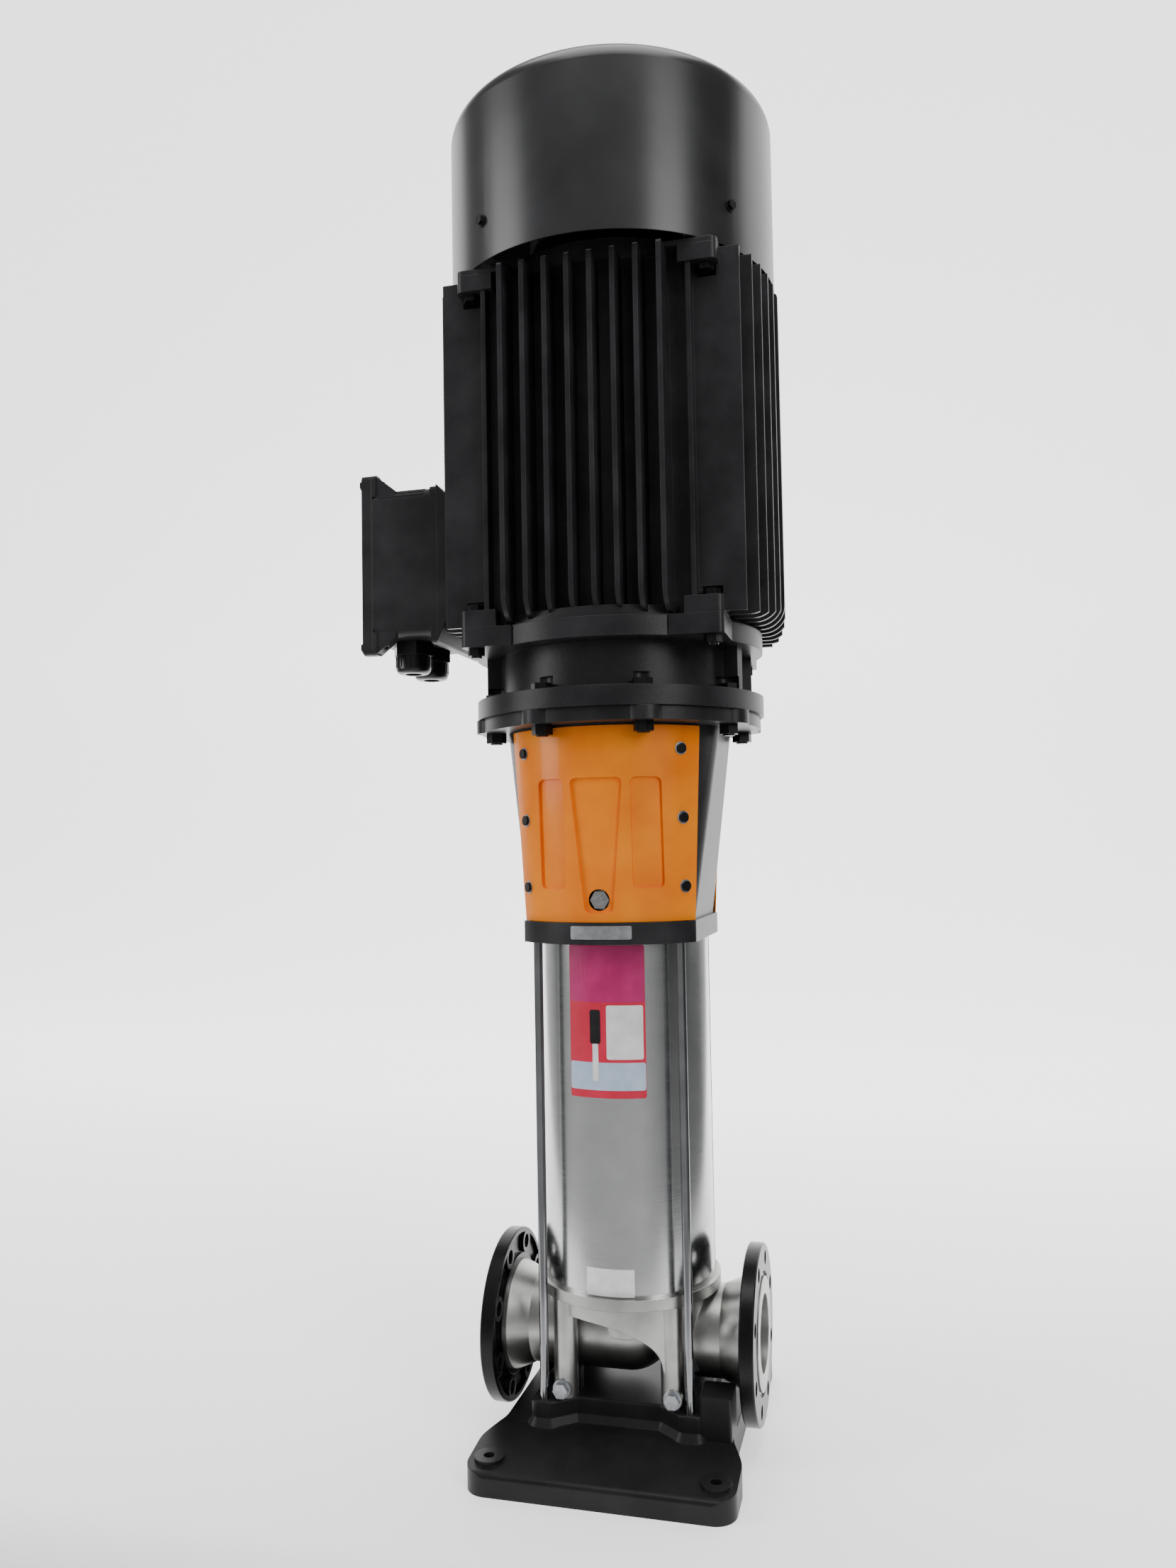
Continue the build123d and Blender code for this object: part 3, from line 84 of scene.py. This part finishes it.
def grain(tree, place, size, detail=2.0, stretch=(1, 1, 1), rough=0.5):
    """Noise whose grains are about size metres across."""
    laid = add(tree, "ShaderNodeMapping", {"Vector": place, "Scale": stretch})
    noise = add(tree, "ShaderNodeTexNoise", {"Vector": laid.outputs["Vector"], "Scale": 1 / size,
                                             "Detail": detail, "Roughness": rough})
    return noise.outputs["Fac"]


def ramp(tree, value, stops):
    """Colour ramp through (position, hex colour) stops."""
    made = add(tree, "ShaderNodeValToRGB", {"Fac": value})
    band = made.color_ramp
    while len(band.elements) < len(stops):
        band.elements.new(0.5)
    for element, (position, code) in zip(band.elements, stops):
        element.position = position
        element.color = colour(code)
    return made.outputs["Color"]


def spread(tree, value, low, high, out_low, out_high):
    laid = add(tree, "ShaderNodeMapRange", {"Value": value, "From Min": low, "From Max": high,
                                            "To Min": out_low, "To Max": out_high})
    return laid.outputs["Result"]


def relief(tree, shader, height, depth, strength=1.0, edge=0.0):
    """Feeds the shader's normal with a bump, over edges softened by a small radius."""
    inputs = {"Height": height, "Distance": depth, "Strength": strength}
    if edge:
        inputs["Normal"] = add(tree, "ShaderNodeBevel", {"Radius": edge}, samples=4).outputs["Normal"]
    bump = add(tree, "ShaderNodeBump", inputs)
    tree.links.new(bump.outputs["Normal"], shader.inputs["Normal"])


# ---------------------------------------------------------------- materials

def satin_painted_cast_iron(name, dark, light, roughness, sand):
    """Satin black enamel sprayed over sand-cast iron: the casting's grain shows through as a soft pitting."""
    material, tree, shader, place = start_material(name, Roughness=roughness, Specular_IOR_Level=0.2)
    cloud = grain(tree, place, 60 * MM, 3)
    tree.links.new(ramp(tree, cloud, [(0.35, dark), (0.7, light)]), shader.inputs["Base Color"])
    pits = grain(tree, place, sand, 4, rough=0.6)
    relief(tree, shader, pits, 0.35 * MM, 0.55, edge=1.4 * MM)
    return material


def satin_painted_sheet():
    """Black powder coat on pressed steel: even, with a faint orange peel of about 3 mm."""
    material, tree, shader, place = start_material("black_powder_coated_sheet", Roughness=0.3)
    cloud = grain(tree, place, 90 * MM, 2)
    tree.links.new(ramp(tree, cloud, [(0.3, "#1E1E1F"), (0.75, "#2C2C2E")]), shader.inputs["Base Color"])
    relief(tree, shader, grain(tree, place, 3 * MM, 1), 0.05 * MM, 0.5, edge=1.0 * MM)
    return material


def orange_enamel():
    """Glossy orange enamel on pressed sheet, slightly deeper where the coat is thicker."""
    material, tree, shader, place = start_material("orange_gloss_enamel", Roughness=0.35, Coat_Weight=0.2,
                                                   Coat_Roughness=0.1, Specular_IOR_Level=0.2)
    cloud = grain(tree, place, 70 * MM, 3)
    tree.links.new(ramp(tree, cloud, [(0.3, "#F07800"), (0.7, "#FF9000")]), shader.inputs["Base Color"])
    relief(tree, shader, grain(tree, place, 4 * MM, 1), 0.04 * MM, 0.5, edge=0.8 * MM)
    return material


def polished_stainless(name, stretch, roughness, light="#C9CACA", dark="#BDBEBE"):
    """Stainless steel polished in one direction: fine lines that draw reflections out."""
    material, tree, shader, place = start_material(name, Metallic=1.0)
    lines = grain(tree, place, 1 * MM, 4, stretch)
    tree.links.new(ramp(tree, grain(tree, place, 50 * MM, 3), [(0.3, dark), (0.7, light)]),
                   shader.inputs["Base Color"])
    dullness = spread(tree, lines, 0.3, 0.7, roughness * 0.8, roughness * 1.25)
    tree.links.new(dullness, shader.inputs["Roughness"])
    relief(tree, shader, lines, 0.01 * MM, 0.35, edge=0.5 * MM)
    return material


def blasted_stainless_casting():
    """Investment-cast stainless, bead blasted: pale satin grey with a fine even grit."""
    material, tree, shader, place = start_material("blasted_stainless_casting", Metallic=1.0, Roughness=0.34)
    cloud = grain(tree, place, 40 * MM, 4)
    tree.links.new(ramp(tree, cloud, [(0.3, "#9C9C9A"), (0.7, "#BFBFBC")]), shader.inputs["Base Color"])
    relief(tree, shader, grain(tree, place, 1.6 * MM, 3), 0.2 * MM, 0.5, edge=1.5 * MM)
    return material


def zinc_plated_steel():
    """Bright zinc on bolts and nuts, with the slight blue-grey mottling of the bath."""
    material, tree, shader, place = start_material("zinc_plated_steel", Metallic=1.0)
    mottle = grain(tree, place, 6 * MM, 3)
    tree.links.new(ramp(tree, mottle, [(0.3, "#9FA3A8"), (0.7, "#C8CBCF")]), shader.inputs["Base Color"])
    tree.links.new(spread(tree, mottle, 0.3, 0.7, 0.28, 0.42), shader.inputs["Roughness"])
    relief(tree, shader, grain(tree, place, 1.5 * MM, 2), 0.02 * MM, 0.4, edge=0.6 * MM)
    return material


def turned_steel():
    """Machined steel with the fine feed lines of the lathe."""
    material, tree, shader, place = start_material("turned_steel", Metallic=1.0, Roughness=0.3)
    tree.links.new(ramp(tree, grain(tree, place, 30 * MM, 3), [(0.3, "#7E8083"), (0.7, "#9B9DA0")]),
                   shader.inputs["Base Color"])
    relief(tree, shader, grain(tree, place, 1 * MM, 2, (0.05, 0.05, 1.2)), 0.02 * MM, 0.5, edge=0.5 * MM)
    return material


def stacked_laminations():
    """Electrical steel sheets, drawn 2 mm thick where the real ones are 0.5 mm, too fine to show."""
    material, tree, shader, place = start_material("stacked_laminations", Metallic=0.9, Roughness=0.5)
    wave = add(tree, "ShaderNodeTexWave", {"Vector": place, "Scale": 80.0}, bands_direction="Z")
    sheets = wave.outputs["Fac"]
    tree.links.new(ramp(tree, sheets, [(0.2, "#3C3D40"), (0.8, "#66686B")]), shader.inputs["Base Color"])
    relief(tree, shader, sheets, 0.1 * MM, 0.5)
    return material


def varnished_copper():
    """Enamelled winding wire about 1.2 mm thick under red-brown varnish."""
    material, tree, shader, place = start_material("varnished_copper_wire", Metallic=0.6, Roughness=0.35)
    wave = add(tree, "ShaderNodeTexWave", {"Vector": place, "Scale": 120.0, "Distortion": 3.0, "Detail": 2.0},
               bands_direction="Z")
    wires = wave.outputs["Fac"]
    tree.links.new(ramp(tree, wires, [(0.1, "#4A1E0C"), (0.8, "#B5622C")]), shader.inputs["Base Color"])
    relief(tree, shader, wires, 0.5 * MM, 0.8)
    return material


def plain_finish(name, dark, light, metallic, roughness, size):
    """Even finish with a slight mottle, for moulded, cast or machined small pieces."""
    material, tree, shader, place = start_material(name, Metallic=metallic, Roughness=roughness)
    cloud = grain(tree, place, size, 3)
    tree.links.new(ramp(tree, cloud, [(0.3, dark), (0.7, light)]), shader.inputs["Base Color"])
    relief(tree, shader, grain(tree, place, 1.5 * MM, 2), 0.05 * MM, 0.4, edge=0.6 * MM)
    return material


finishes = {
    "black_painted_casting": satin_painted_cast_iron("black_enamelled_cast_iron", "#202022", "#2F2F31", 0.34,
                                                     2.2 * MM),
    "base_casting": satin_painted_cast_iron("black_enamelled_sand_casting", "#131314", "#1E1E1F", 0.38,
                                            3.5 * MM),
    "flange_casting": satin_painted_cast_iron("black_gloss_enamelled_flange", "#0C0C0D", "#171718", 0.25,
                                              2.5 * MM),
    "black_painted_sheet": satin_painted_sheet(),
    "orange_painted_sheet": orange_enamel(),
    "stainless_casting": blasted_stainless_casting(),
    "polished_stainless": polished_stainless("polished_stainless_tube", (0.02, 0.02, 1.0), 0.2),
    "drawn_stainless": polished_stainless("drawn_stainless_bar", (1.0, 1.0, 0.03), 0.14, "#8E8F91",
                                          "#7C7D7F"),
    "zinc_steel": zinc_plated_steel(),
    "black_oxide_steel": plain_finish("black_oxide_steel", "#0E0E10", "#1E1E20", 0.6, 0.4, 8 * MM),
    "carbon_steel": turned_steel(),
    "electrical_steel": stacked_laminations(),
    "copper_winding": varnished_copper(),
    "fan_plastic": plain_finish("moulded_polyamide", "#101011", "#1C1C1E", 0.0, 0.5, 30 * MM),
    "black_gloss_plastic": plain_finish("moulded_gland_nylon", "#0B0B0C", "#171718", 0.0, 0.28, 15 * MM),
    "board_plastic": plain_finish("moulded_bakelite", "#2A1710", "#3B2217", 0.0, 0.4, 12 * MM),
    "rubber_seal": plain_finish("nitrile_rubber", "#0A0A0A", "#161616", 0.0, 0.7, 10 * MM),
    "bearing_bronze": plain_finish("bearing_bronze", "#8A6A35", "#A8884E", 1.0, 0.4, 12 * MM),
    "seal_face": plain_finish("carbon_seal_face", "#161617", "#2A2A2C", 0.0, 0.35, 8 * MM),
    "label_magenta": plain_finish("printed_vinyl_magenta", "#B01A63", "#C42A72", 0.0, 0.35, 30 * MM),
    "label_red": plain_finish("printed_vinyl_red", "#C8193C", "#D62A48", 0.0, 0.35, 30 * MM),
    "label_white": plain_finish("plain_white_vinyl", "#DDDDDD", "#F2F2F2", 0.0, 0.4, 20 * MM),
    "label_blue": plain_finish("printed_vinyl_pale_blue", "#A9BFD8", "#C4D4E6", 0.0, 0.35, 25 * MM),
    "plate_aluminium": plain_finish("anodised_aluminium_plate", "#A9ABAD", "#C9CBCD", 1.0, 0.32, 10 * MM),
}

own_finish = {"base_plate": "base_casting"}
for name in ("inlet_flange", "outlet_flange"):
    own_finish[name] = "flange_casting"
for name in ("tie_rods", "impeller_spacers", "pump_shaft"):
    own_finish[name] = "drawn_stainless"
for name in ("guard_screws", "flange_bolts", "shield_bolts", "cowl_screws", "lid_screws"):
    own_finish[name] = "black_oxide_steel"
node_slot = {part["node"]: part["material_slot"] for part in frame["record"]["subparts"]}
for name, body in frame["nodes"].items():
    finish = finishes[own_finish.get(name, node_slot[name])]
    body.data.materials.clear()
    body.data.materials.append(finish)


# ---------------------------------------------------------------- pieces

def make_object(name, mesh, finish):
    made = bpy.data.objects.new(name, mesh)
    bpy.context.scene.collection.objects.link(made)
    mesh.materials.clear()
    mesh.materials.append(finishes[finish])
    return made


def curved_patch(name, radius_at, centre, half_width, z_low, z_high, finish, corner=3 * MM, thick=0.25 * MM,
                 lift=0.0):
    """Thin patch with rounded corners, wrapped round the shaft axis at the angle centre, as a closed skin."""
    mesh = bpy.data.meshes.new(name)
    made = bmesh.new()
    steps = 6
    outline = []
    mean = radius_at((z_low + z_high) / 2)
    half = half_width * mean
    for cx, cz, start in ((half, z_high, 0), (-half, z_high, 90), (-half, z_low, 180), (half, z_low, 270)):
        for i in range(steps + 1):
            a = math.radians(start + 90 * i / steps)
            x = cx - math.copysign(corner, cx) + corner * math.cos(a)
            z = cz - math.copysign(corner, cz - (z_low + z_high) / 2) + corner * math.sin(a)
            outline.append((x, z))
    face = made.faces.new([made.verts.new((x, 0, z)) for x, z in outline])
    for x in [i / 16 * 2 * half - half for i in range(1, 16)]:
        geometry = made.verts[:] + made.edges[:] + made.faces[:]
        bmesh.ops.bisect_plane(made, geom=geometry, plane_co=(x, 0, 0), plane_no=(1, 0, 0))
    bmesh.ops.recalc_face_normals(made, faces=made.faces)
    if made.faces[:][0].normal.y > 0:
        bmesh.ops.reverse_faces(made, faces=made.faces)
    skin = bmesh.ops.extrude_face_region(made, geom=made.faces[:])
    grown = [v for v in skin["geom"] if isinstance(v, bmesh.types.BMVert)]
    for v in grown:
        v.co.y = -thick
    for v in made.verts:
        angle = centre + v.co.x / mean
        r = radius_at(v.co.z) + lift - v.co.y
        v.co = (r * math.sin(angle), -r * math.cos(angle), v.co.z)
    bmesh.ops.recalc_face_normals(made, faces=made.faces)
    made.to_mesh(mesh)
    made.free()
    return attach(make_object(name, mesh, finish), "pump_frame")


sleeve_low, sleeve_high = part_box("outer_sleeve")
sleeve_radius = sleeve_high.x
stool_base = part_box("motor_stool")[0].z
stool_foot_radius = 150 * MM


def sleeve_at(z):
    return sleeve_radius


def stool_foot_at(z):
    return stool_foot_radius


def patch(name, radius_at, degrees_low, degrees_high, z_low, z_high, finish, **extra):
    centre = math.radians((degrees_low + degrees_high) / 2)
    half = math.radians((degrees_high - degrees_low) / 2)
    return curved_patch(name, radius_at, centre, half, z_low, z_high, finish, **extra)


# Sleeve label: plain colour fields and a wordless drawing of a pump, at angles in degrees from the front.
label_left, label_right, label_height, print_margin = -26.5, 25.5, 198 * MM, 0.3
label_top = sleeve_high.z - 3 * MM
label_base = label_top - label_height
head_height, panel_drop, panel_end = 74 * MM, 78 * MM, 148 * MM
band_low, band_high = label_base + 10 * MM, label_base + 46 * MM
motor_drop, motor_end, drawn_end = 84 * MM, 128 * MM, 176 * MM
printed = {"lift": 0.2 * MM, "thick": 0.15 * MM}
drawn = {"lift": 0.35 * MM, "thick": 0.1 * MM}
field_left, field_right = label_left + print_margin, label_right - print_margin
patch("sleeve_label_field", sleeve_at, label_left, label_right, label_base, label_top, "label_red")
patch("sleeve_label_head", sleeve_at, field_left, field_right, label_top - head_height, label_top - 0.6 * MM,
      "label_magenta", **printed)
patch("sleeve_label_panel", sleeve_at, 0.0, 24.0, label_top - panel_end, label_top - panel_drop,
      "label_white", **printed)
patch("sleeve_label_band", sleeve_at, field_left, field_right, band_low, band_high, "label_blue", **printed)
patch("sleeve_label_drawn_pump", sleeve_at, -9.6, -5.6, label_top - drawn_end, label_top - motor_end,
      "label_white", corner=1.5 * MM, **drawn)
patch("sleeve_label_drawn_motor", sleeve_at, -11.2, -4.0, label_top - motor_end, label_top - motor_drop,
      "black_gloss_plastic", corner=3 * MM, **drawn)
patch("sleeve_blank_label", sleeve_at, -16.6, 15.4, sleeve_low.z + 9 * MM, sleeve_low.z + 44 * MM,
      "label_white", corner=1.5 * MM)
patch("stool_blank_plate", stool_foot_at, -14.5, 16.5, stool_base + 7 * MM, stool_base + 24 * MM,
      "plate_aluminium", corner=2 * MM, thick=0.6 * MM)


# ---------------------------------------------------------------- repeated pieces

def on_points(name, sizes, make_piece):
    """Tree that sets one piece on each point, turned as the point's own "turn" says."""
    tree = bpy.data.node_groups.new(name, "GeometryNodeTree")
    tree.interface.new_socket("Geometry", in_out="OUTPUT", socket_type="NodeSocketGeometry")
    for label, kind in {"Points": "Geometry", **sizes, "Finish": "Material"}.items():
        tree.interface.new_socket(label, in_out="INPUT", socket_type="NodeSocket" + kind)
    given = add(tree, "NodeGroupInput").outputs
    turn = add(tree, "GeometryNodeInputNamedAttribute", {"Name": "turn"}, data_type="FLOAT_VECTOR")
    inputs = {"Points": given["Points"], "Instance": make_piece(tree, given),
              "Rotation": turn.outputs["Attribute"]}
    laid = add(tree, "GeometryNodeInstanceOnPoints", inputs)
    real = add(tree, "GeometryNodeRealizeInstances", {"Geometry": laid.outputs["Instances"]})
    dressed = add(tree, "GeometryNodeSetMaterial", {"Geometry": real.outputs["Geometry"],
                                                    "Material": given["Finish"]})
    add(tree, "NodeGroupOutput", {"Geometry": dressed.outputs["Geometry"]})
    return tree


def rod_piece(tree, given):
    """Upright cylinder centred on its point."""
    return add(tree, "GeometryNodeMeshCylinder", {"Vertices": 24, "Radius": given["Radius"],
                                                  "Depth": given["Depth"]}).outputs["Mesh"]


def bar_piece(tree, given):
    return add(tree, "GeometryNodeMeshCube", {"Size": given["Size"]}).outputs["Mesh"]


def grow(name, tree, sizes, finish, places, turns, body):
    """Runs a tree once on its points and keeps the result as one plain mesh that rides on a body."""
    points = bpy.data.meshes.new(name + "_points")
    points.from_pydata(places, [], [])
    turned = points.attributes.new("turn", "FLOAT_VECTOR", "POINT")
    turned.data.foreach_set("vector", [value for turn in turns for value in turn])
    host = bpy.data.objects.new(name + "_host", points)
    bpy.context.scene.collection.objects.link(host)
    modifier = host.modifiers.new(name, "NODES")
    modifier.node_group = tree
    values = {**sizes, "Finish": finishes[finish]}
    for socket in tree.interface.items_tree:
        if socket.in_out == "INPUT" and socket.name in values:
            modifier[socket.identifier] = values[socket.name]
    mesh = bpy.data.meshes.new_from_object(host.evaluated_get(bpy.context.evaluated_depsgraph_get()))
    bpy.data.objects.remove(host)
    mesh.name = name
    made = bpy.data.objects.new(name, mesh)
    bpy.context.scene.collection.objects.link(made)
    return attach(made, body)


def outward(angle):
    """Turn that points a piece's own Z away from the shaft at an angle from the front."""
    return (math.pi / 2, 0.0, angle)


# Pale rings under the guards' screws. Each row stands upright while the stool widens from foot to flange.
foot_height, stool_height, flange_height = 28 * MM, 302 * MM, 18 * MM
cone_low, cone_high = 143 * MM, 158 * MM
screw_across, screw_rises = 104.5 * MM, (45 * MM, 134 * MM, 223 * MM)
sheet_out = 2.3 * MM                      # from the stool's casting to the outside of the guard's sheet
cone_slope = (cone_high - cone_low) / (stool_height - foot_height - flange_height)
washer_places, washer_turns = [], []
for rise in screw_rises:
    reach = cone_low + cone_slope * rise
    for half_turn in (0.0, math.pi):
        for side in (-1, 1):
            angle = half_turn + side * math.asin(screw_across / reach)
            way = Vector((math.sin(angle), -math.cos(angle), 0))
            washer_turns.append(outward(angle))
            washer_places.append(way * (reach + sheet_out) + Vector((0, 0, stool_base + foot_height + rise)))

disc_tree = on_points("round_pieces", {"Radius": "Float", "Depth": "Float"}, rod_piece)
grow("guard_screw_washers", disc_tree, {"Radius": 8.6 * MM, "Depth": 0.8 * MM}, "zinc_steel", washer_places,
     washer_turns, "pump_frame")

# Grip ribs round the cap of each cable gland
gland_low, gland_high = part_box("cable_glands")
cap_radius, cap_height, rib_count, gland_offset = 25 * MM, 26 * MM, 22, 34 * MM
gland_x = (gland_low.x + gland_high.x) / 2
rib_height, rib_centre = cap_height - 10 * MM, gland_low.z + cap_height / 2 + 4 * MM
rib_places, rib_turns = [], []
for gland_y in (-gland_offset, gland_offset):
    for i in range(rib_count):
        angle = 2 * math.pi * i / rib_count
        x, y = cap_radius * math.cos(angle), cap_radius * math.sin(angle)
        rib_places.append((gland_x + x, gland_y + y, rib_centre))
        rib_turns.append((0.0, 0.0, angle))
bar_tree = on_points("bar_pieces", {"Size": "Vector"}, bar_piece)
grow("cable_gland_grips", bar_tree, {"Size": (1.6 * MM, 3.2 * MM, rib_height)}, "black_gloss_plastic",
     rib_places, rib_turns, "pump_frame")

# Fine ridges along the terminal box's rounded top edges
box_top, box_half, box_round, ridge_x = 1303 * MM, 94 * MM, 16 * MM, -292 * MM
ridge_places, ridge_turns = [], []
for side in (-1, 1):
    for lean in (22, 42, 62, 82):
        a = math.radians(lean)
        out = box_half - box_round + box_round * math.cos(a)
        up = box_top - box_round + box_round * math.sin(a)
        ridge_places.append((ridge_x, side * out, up))
        ridge_turns.append((0.0, math.pi / 2, 0.0))
grow("terminal_box_ridges", disc_tree, {"Radius": 1.0 * MM, "Depth": 70 * MM}, "black_painted_casting",
     ridge_places, ridge_turns, "pump_frame")


# ---------------------------------------------------------------- stage, light and camera

def surroundings(tree, way):
    """Tone of the surroundings at each angle round the pump, counted from the front towards the right."""
    back = add(tree, "ShaderNodeMath", {0: way["Y"], 1: -1.0}, operation="MULTIPLY").outputs[0]
    turn = add(tree, "ShaderNodeMath", {0: way["X"], 1: back}, operation="ARCTAN2").outputs[0]
    share = spread(tree, turn, -math.pi, math.pi, 0.0, 1.0)
    return ramp(tree, share, [(0.0, "#FFFFFF"), (0.14, "#F0F0F0"), (0.22, "#A8A8A8"), (0.25, "#6A6A6A"),
                              (0.31, "#B4B4B4"), (0.58, "#C2C2C2"), (0.7, "#383838"), (0.86, "#383838"),
                              (0.94, "#F0F0F0"), (1.0, "#FFFFFF")])


def blend_of(tree, spot, x, y, plus):
    """Distance past a straight edge on the floor: x times X plus y times Y plus a constant."""
    across = add(tree, "ShaderNodeMath", {0: spot["X"], 1: x, 2: plus}, operation="MULTIPLY_ADD").outputs[0]
    return add(tree, "ShaderNodeMath", {0: spot["Y"], 1: y, 2: across}, operation="MULTIPLY_ADD").outputs[0]


def stage_floor():
    """Floor that sweeps up behind the pump. It glows pale under and behind the pump and is darker past that
    area, by angle, which draws the dark bands on the stainless steel. The darker floor shows from the back."""
    mesh = bpy.data.meshes.new("studio_floor")
    made = bmesh.new()
    front, sweep_start, sweep, top, half_width, steps = -9.0, 3.0, 2.0, 9.0, 12.0, 12
    profile = [(front, 0.0), (sweep_start, 0.0)]
    for i in range(1, steps + 1):
        a = math.radians(90 * i / steps)
        profile.append((sweep_start + sweep * math.sin(a), sweep - sweep * math.cos(a)))
    profile.append((sweep_start + sweep, top))
    rows = [[made.verts.new((x, y, z)) for y, z in profile] for x in (-half_width, half_width)]
    for i in range(len(profile) - 1):
        made.faces.new((rows[0][i], rows[1][i], rows[1][i + 1], rows[0][i + 1]))
    bmesh.ops.recalc_face_normals(made, faces=made.faces)
    made.to_mesh(mesh)
    made.free()
    floor = bpy.data.objects.new("studio_floor", mesh)
    bpy.context.scene.collection.objects.link(floor)
    material, tree, shader, place = start_material("pale_studio_paint", Roughness=0.9, Specular_IOR_Level=0.1)
    spot = add(tree, "ShaderNodeSeparateXYZ", {"Vector": place}).outputs
    right_edge, left_edge, front_edge = (1.0, -0.2, -0.72), (-1.0, -0.87, -1.08), (0.0, -1.0, -0.35)
    sides = [blend_of(tree, spot, *edge) for edge in (right_edge, left_edge, front_edge)]
    outside = sides[0]
    for side in sides[1:]:
        outside = add(tree, "ShaderNodeMath", {0: outside, 1: side}, operation="MAXIMUM").outputs[0]
    low = spread(tree, spot["Z"], 0.3, 1.2, 1.0, 0.0)
    share = add(tree, "ShaderNodeMath", {0: spread(tree, outside, 0.0, 0.3, 0.0, 1.0), 1: low},
                operation="MULTIPLY").outputs[0]
    tones = surroundings(tree, spot)
    mixed = add(tree, "ShaderNodeMix", {"Factor": share, MIX_A: colour("#FFFFFF"), MIX_B: tones},
                data_type="RGBA")
    tree.links.new(mixed.outputs[2], shader.inputs["Emission Color"])
    inside = spread(tree, spot["Y"], -0.4, 2.0, 0.55, 2.1)
    glow = add(tree, "ShaderNodeMix", {"Factor": share, "A": inside, "B": 0.85})
    tree.links.new(glow.outputs["Result"], shader.inputs["Emission Strength"])
    paints = {"Factor": share, MIX_A: colour("#F5F5F5"), MIX_B: colour("#5A5A5A")}
    dull = add(tree, "ShaderNodeMix", paints, data_type="RGBA")
    tree.links.new(dull.outputs[2], shader.inputs["Base Color"])
    mesh.materials.append(material)
    for face in mesh.polygons:
        face.use_smooth = True


def softbox(name, place, aim, width, height, power):
    light = bpy.data.lights.new(name, "AREA")
    light.shape = "RECTANGLE"
    light.size, light.size_y, light.energy = width, height, power
    made = bpy.data.objects.new(name, light)
    bpy.context.scene.collection.objects.link(made)
    made.location = place
    made.rotation_euler = (Vector(aim) - Vector(place)).to_track_quat("-Z", "Y").to_euler()


def studio_world():
    """Soft surroundings, bright behind and beside the pump and dimmer in front, as in a light-walled hall."""
    world = bpy.data.worlds.new("studio_surroundings")
    bpy.context.scene.world = world
    world.use_nodes = True
    tree = world.node_tree
    tree.nodes.clear()
    sky = add(tree, "ShaderNodeTexCoord").outputs["Generated"]
    way = add(tree, "ShaderNodeSeparateXYZ", {"Vector": sky}).outputs
    strength = spread(tree, way["Y"], 0.55, 0.95, 0.5, 2.6)
    shade = add(tree, "ShaderNodeBackground", {"Color": surroundings(tree, way), "Strength": strength})
    add(tree, "ShaderNodeOutputWorld", {"Surface": shade.outputs["Background"]})


def view_camera():
    """Eye height beside the pump's middle, a little to the right, looking slightly up."""
    place = Vector((380.5, -1646.1, 794.6)) * MM
    heading, pitch, roll = 0.2574, 0.0454, -0.017
    ahead = Vector((-math.sin(heading), math.cos(heading), 0))
    right = Vector((math.cos(heading), math.sin(heading), 0))
    rise = Vector((0, 0, math.cos(pitch))) - ahead * math.sin(pitch)
    ahead = ahead * math.cos(pitch) + Vector((0, 0, math.sin(pitch)))
    across = right * math.cos(roll) + rise * math.sin(roll)
    up = rise * math.cos(roll) - right * math.sin(roll)
    lens = bpy.data.cameras.new("camera")
    lens.sensor_fit = "VERTICAL"
    lens.sensor_height = 24.0
    lens.lens = 18.405
    lens.shift_x, lens.shift_y = 0.0015, 0.0053
    made = bpy.data.objects.new("camera", lens)
    bpy.context.scene.collection.objects.link(made)
    turned = Matrix((across, up, -ahead)).transposed().to_4x4()
    made.matrix_world = Matrix.Translation(place) @ turned
    bpy.context.scene.camera = made


stage_floor()
studio_world()
softbox("left_softbox", (-2.6, -1.4, 1.9), (0, 0, 0.9), 1.2, 2.6, 55)
softbox("right_softbox", (2.4, -2.0, 2.2), (0, 0, 0.9), 1.2, 2.2, 55)
softbox("top_softbox", (0.2, -0.6, 3.6), (0, 0, 1.0), 2.2, 2.2, 70)
view_camera()
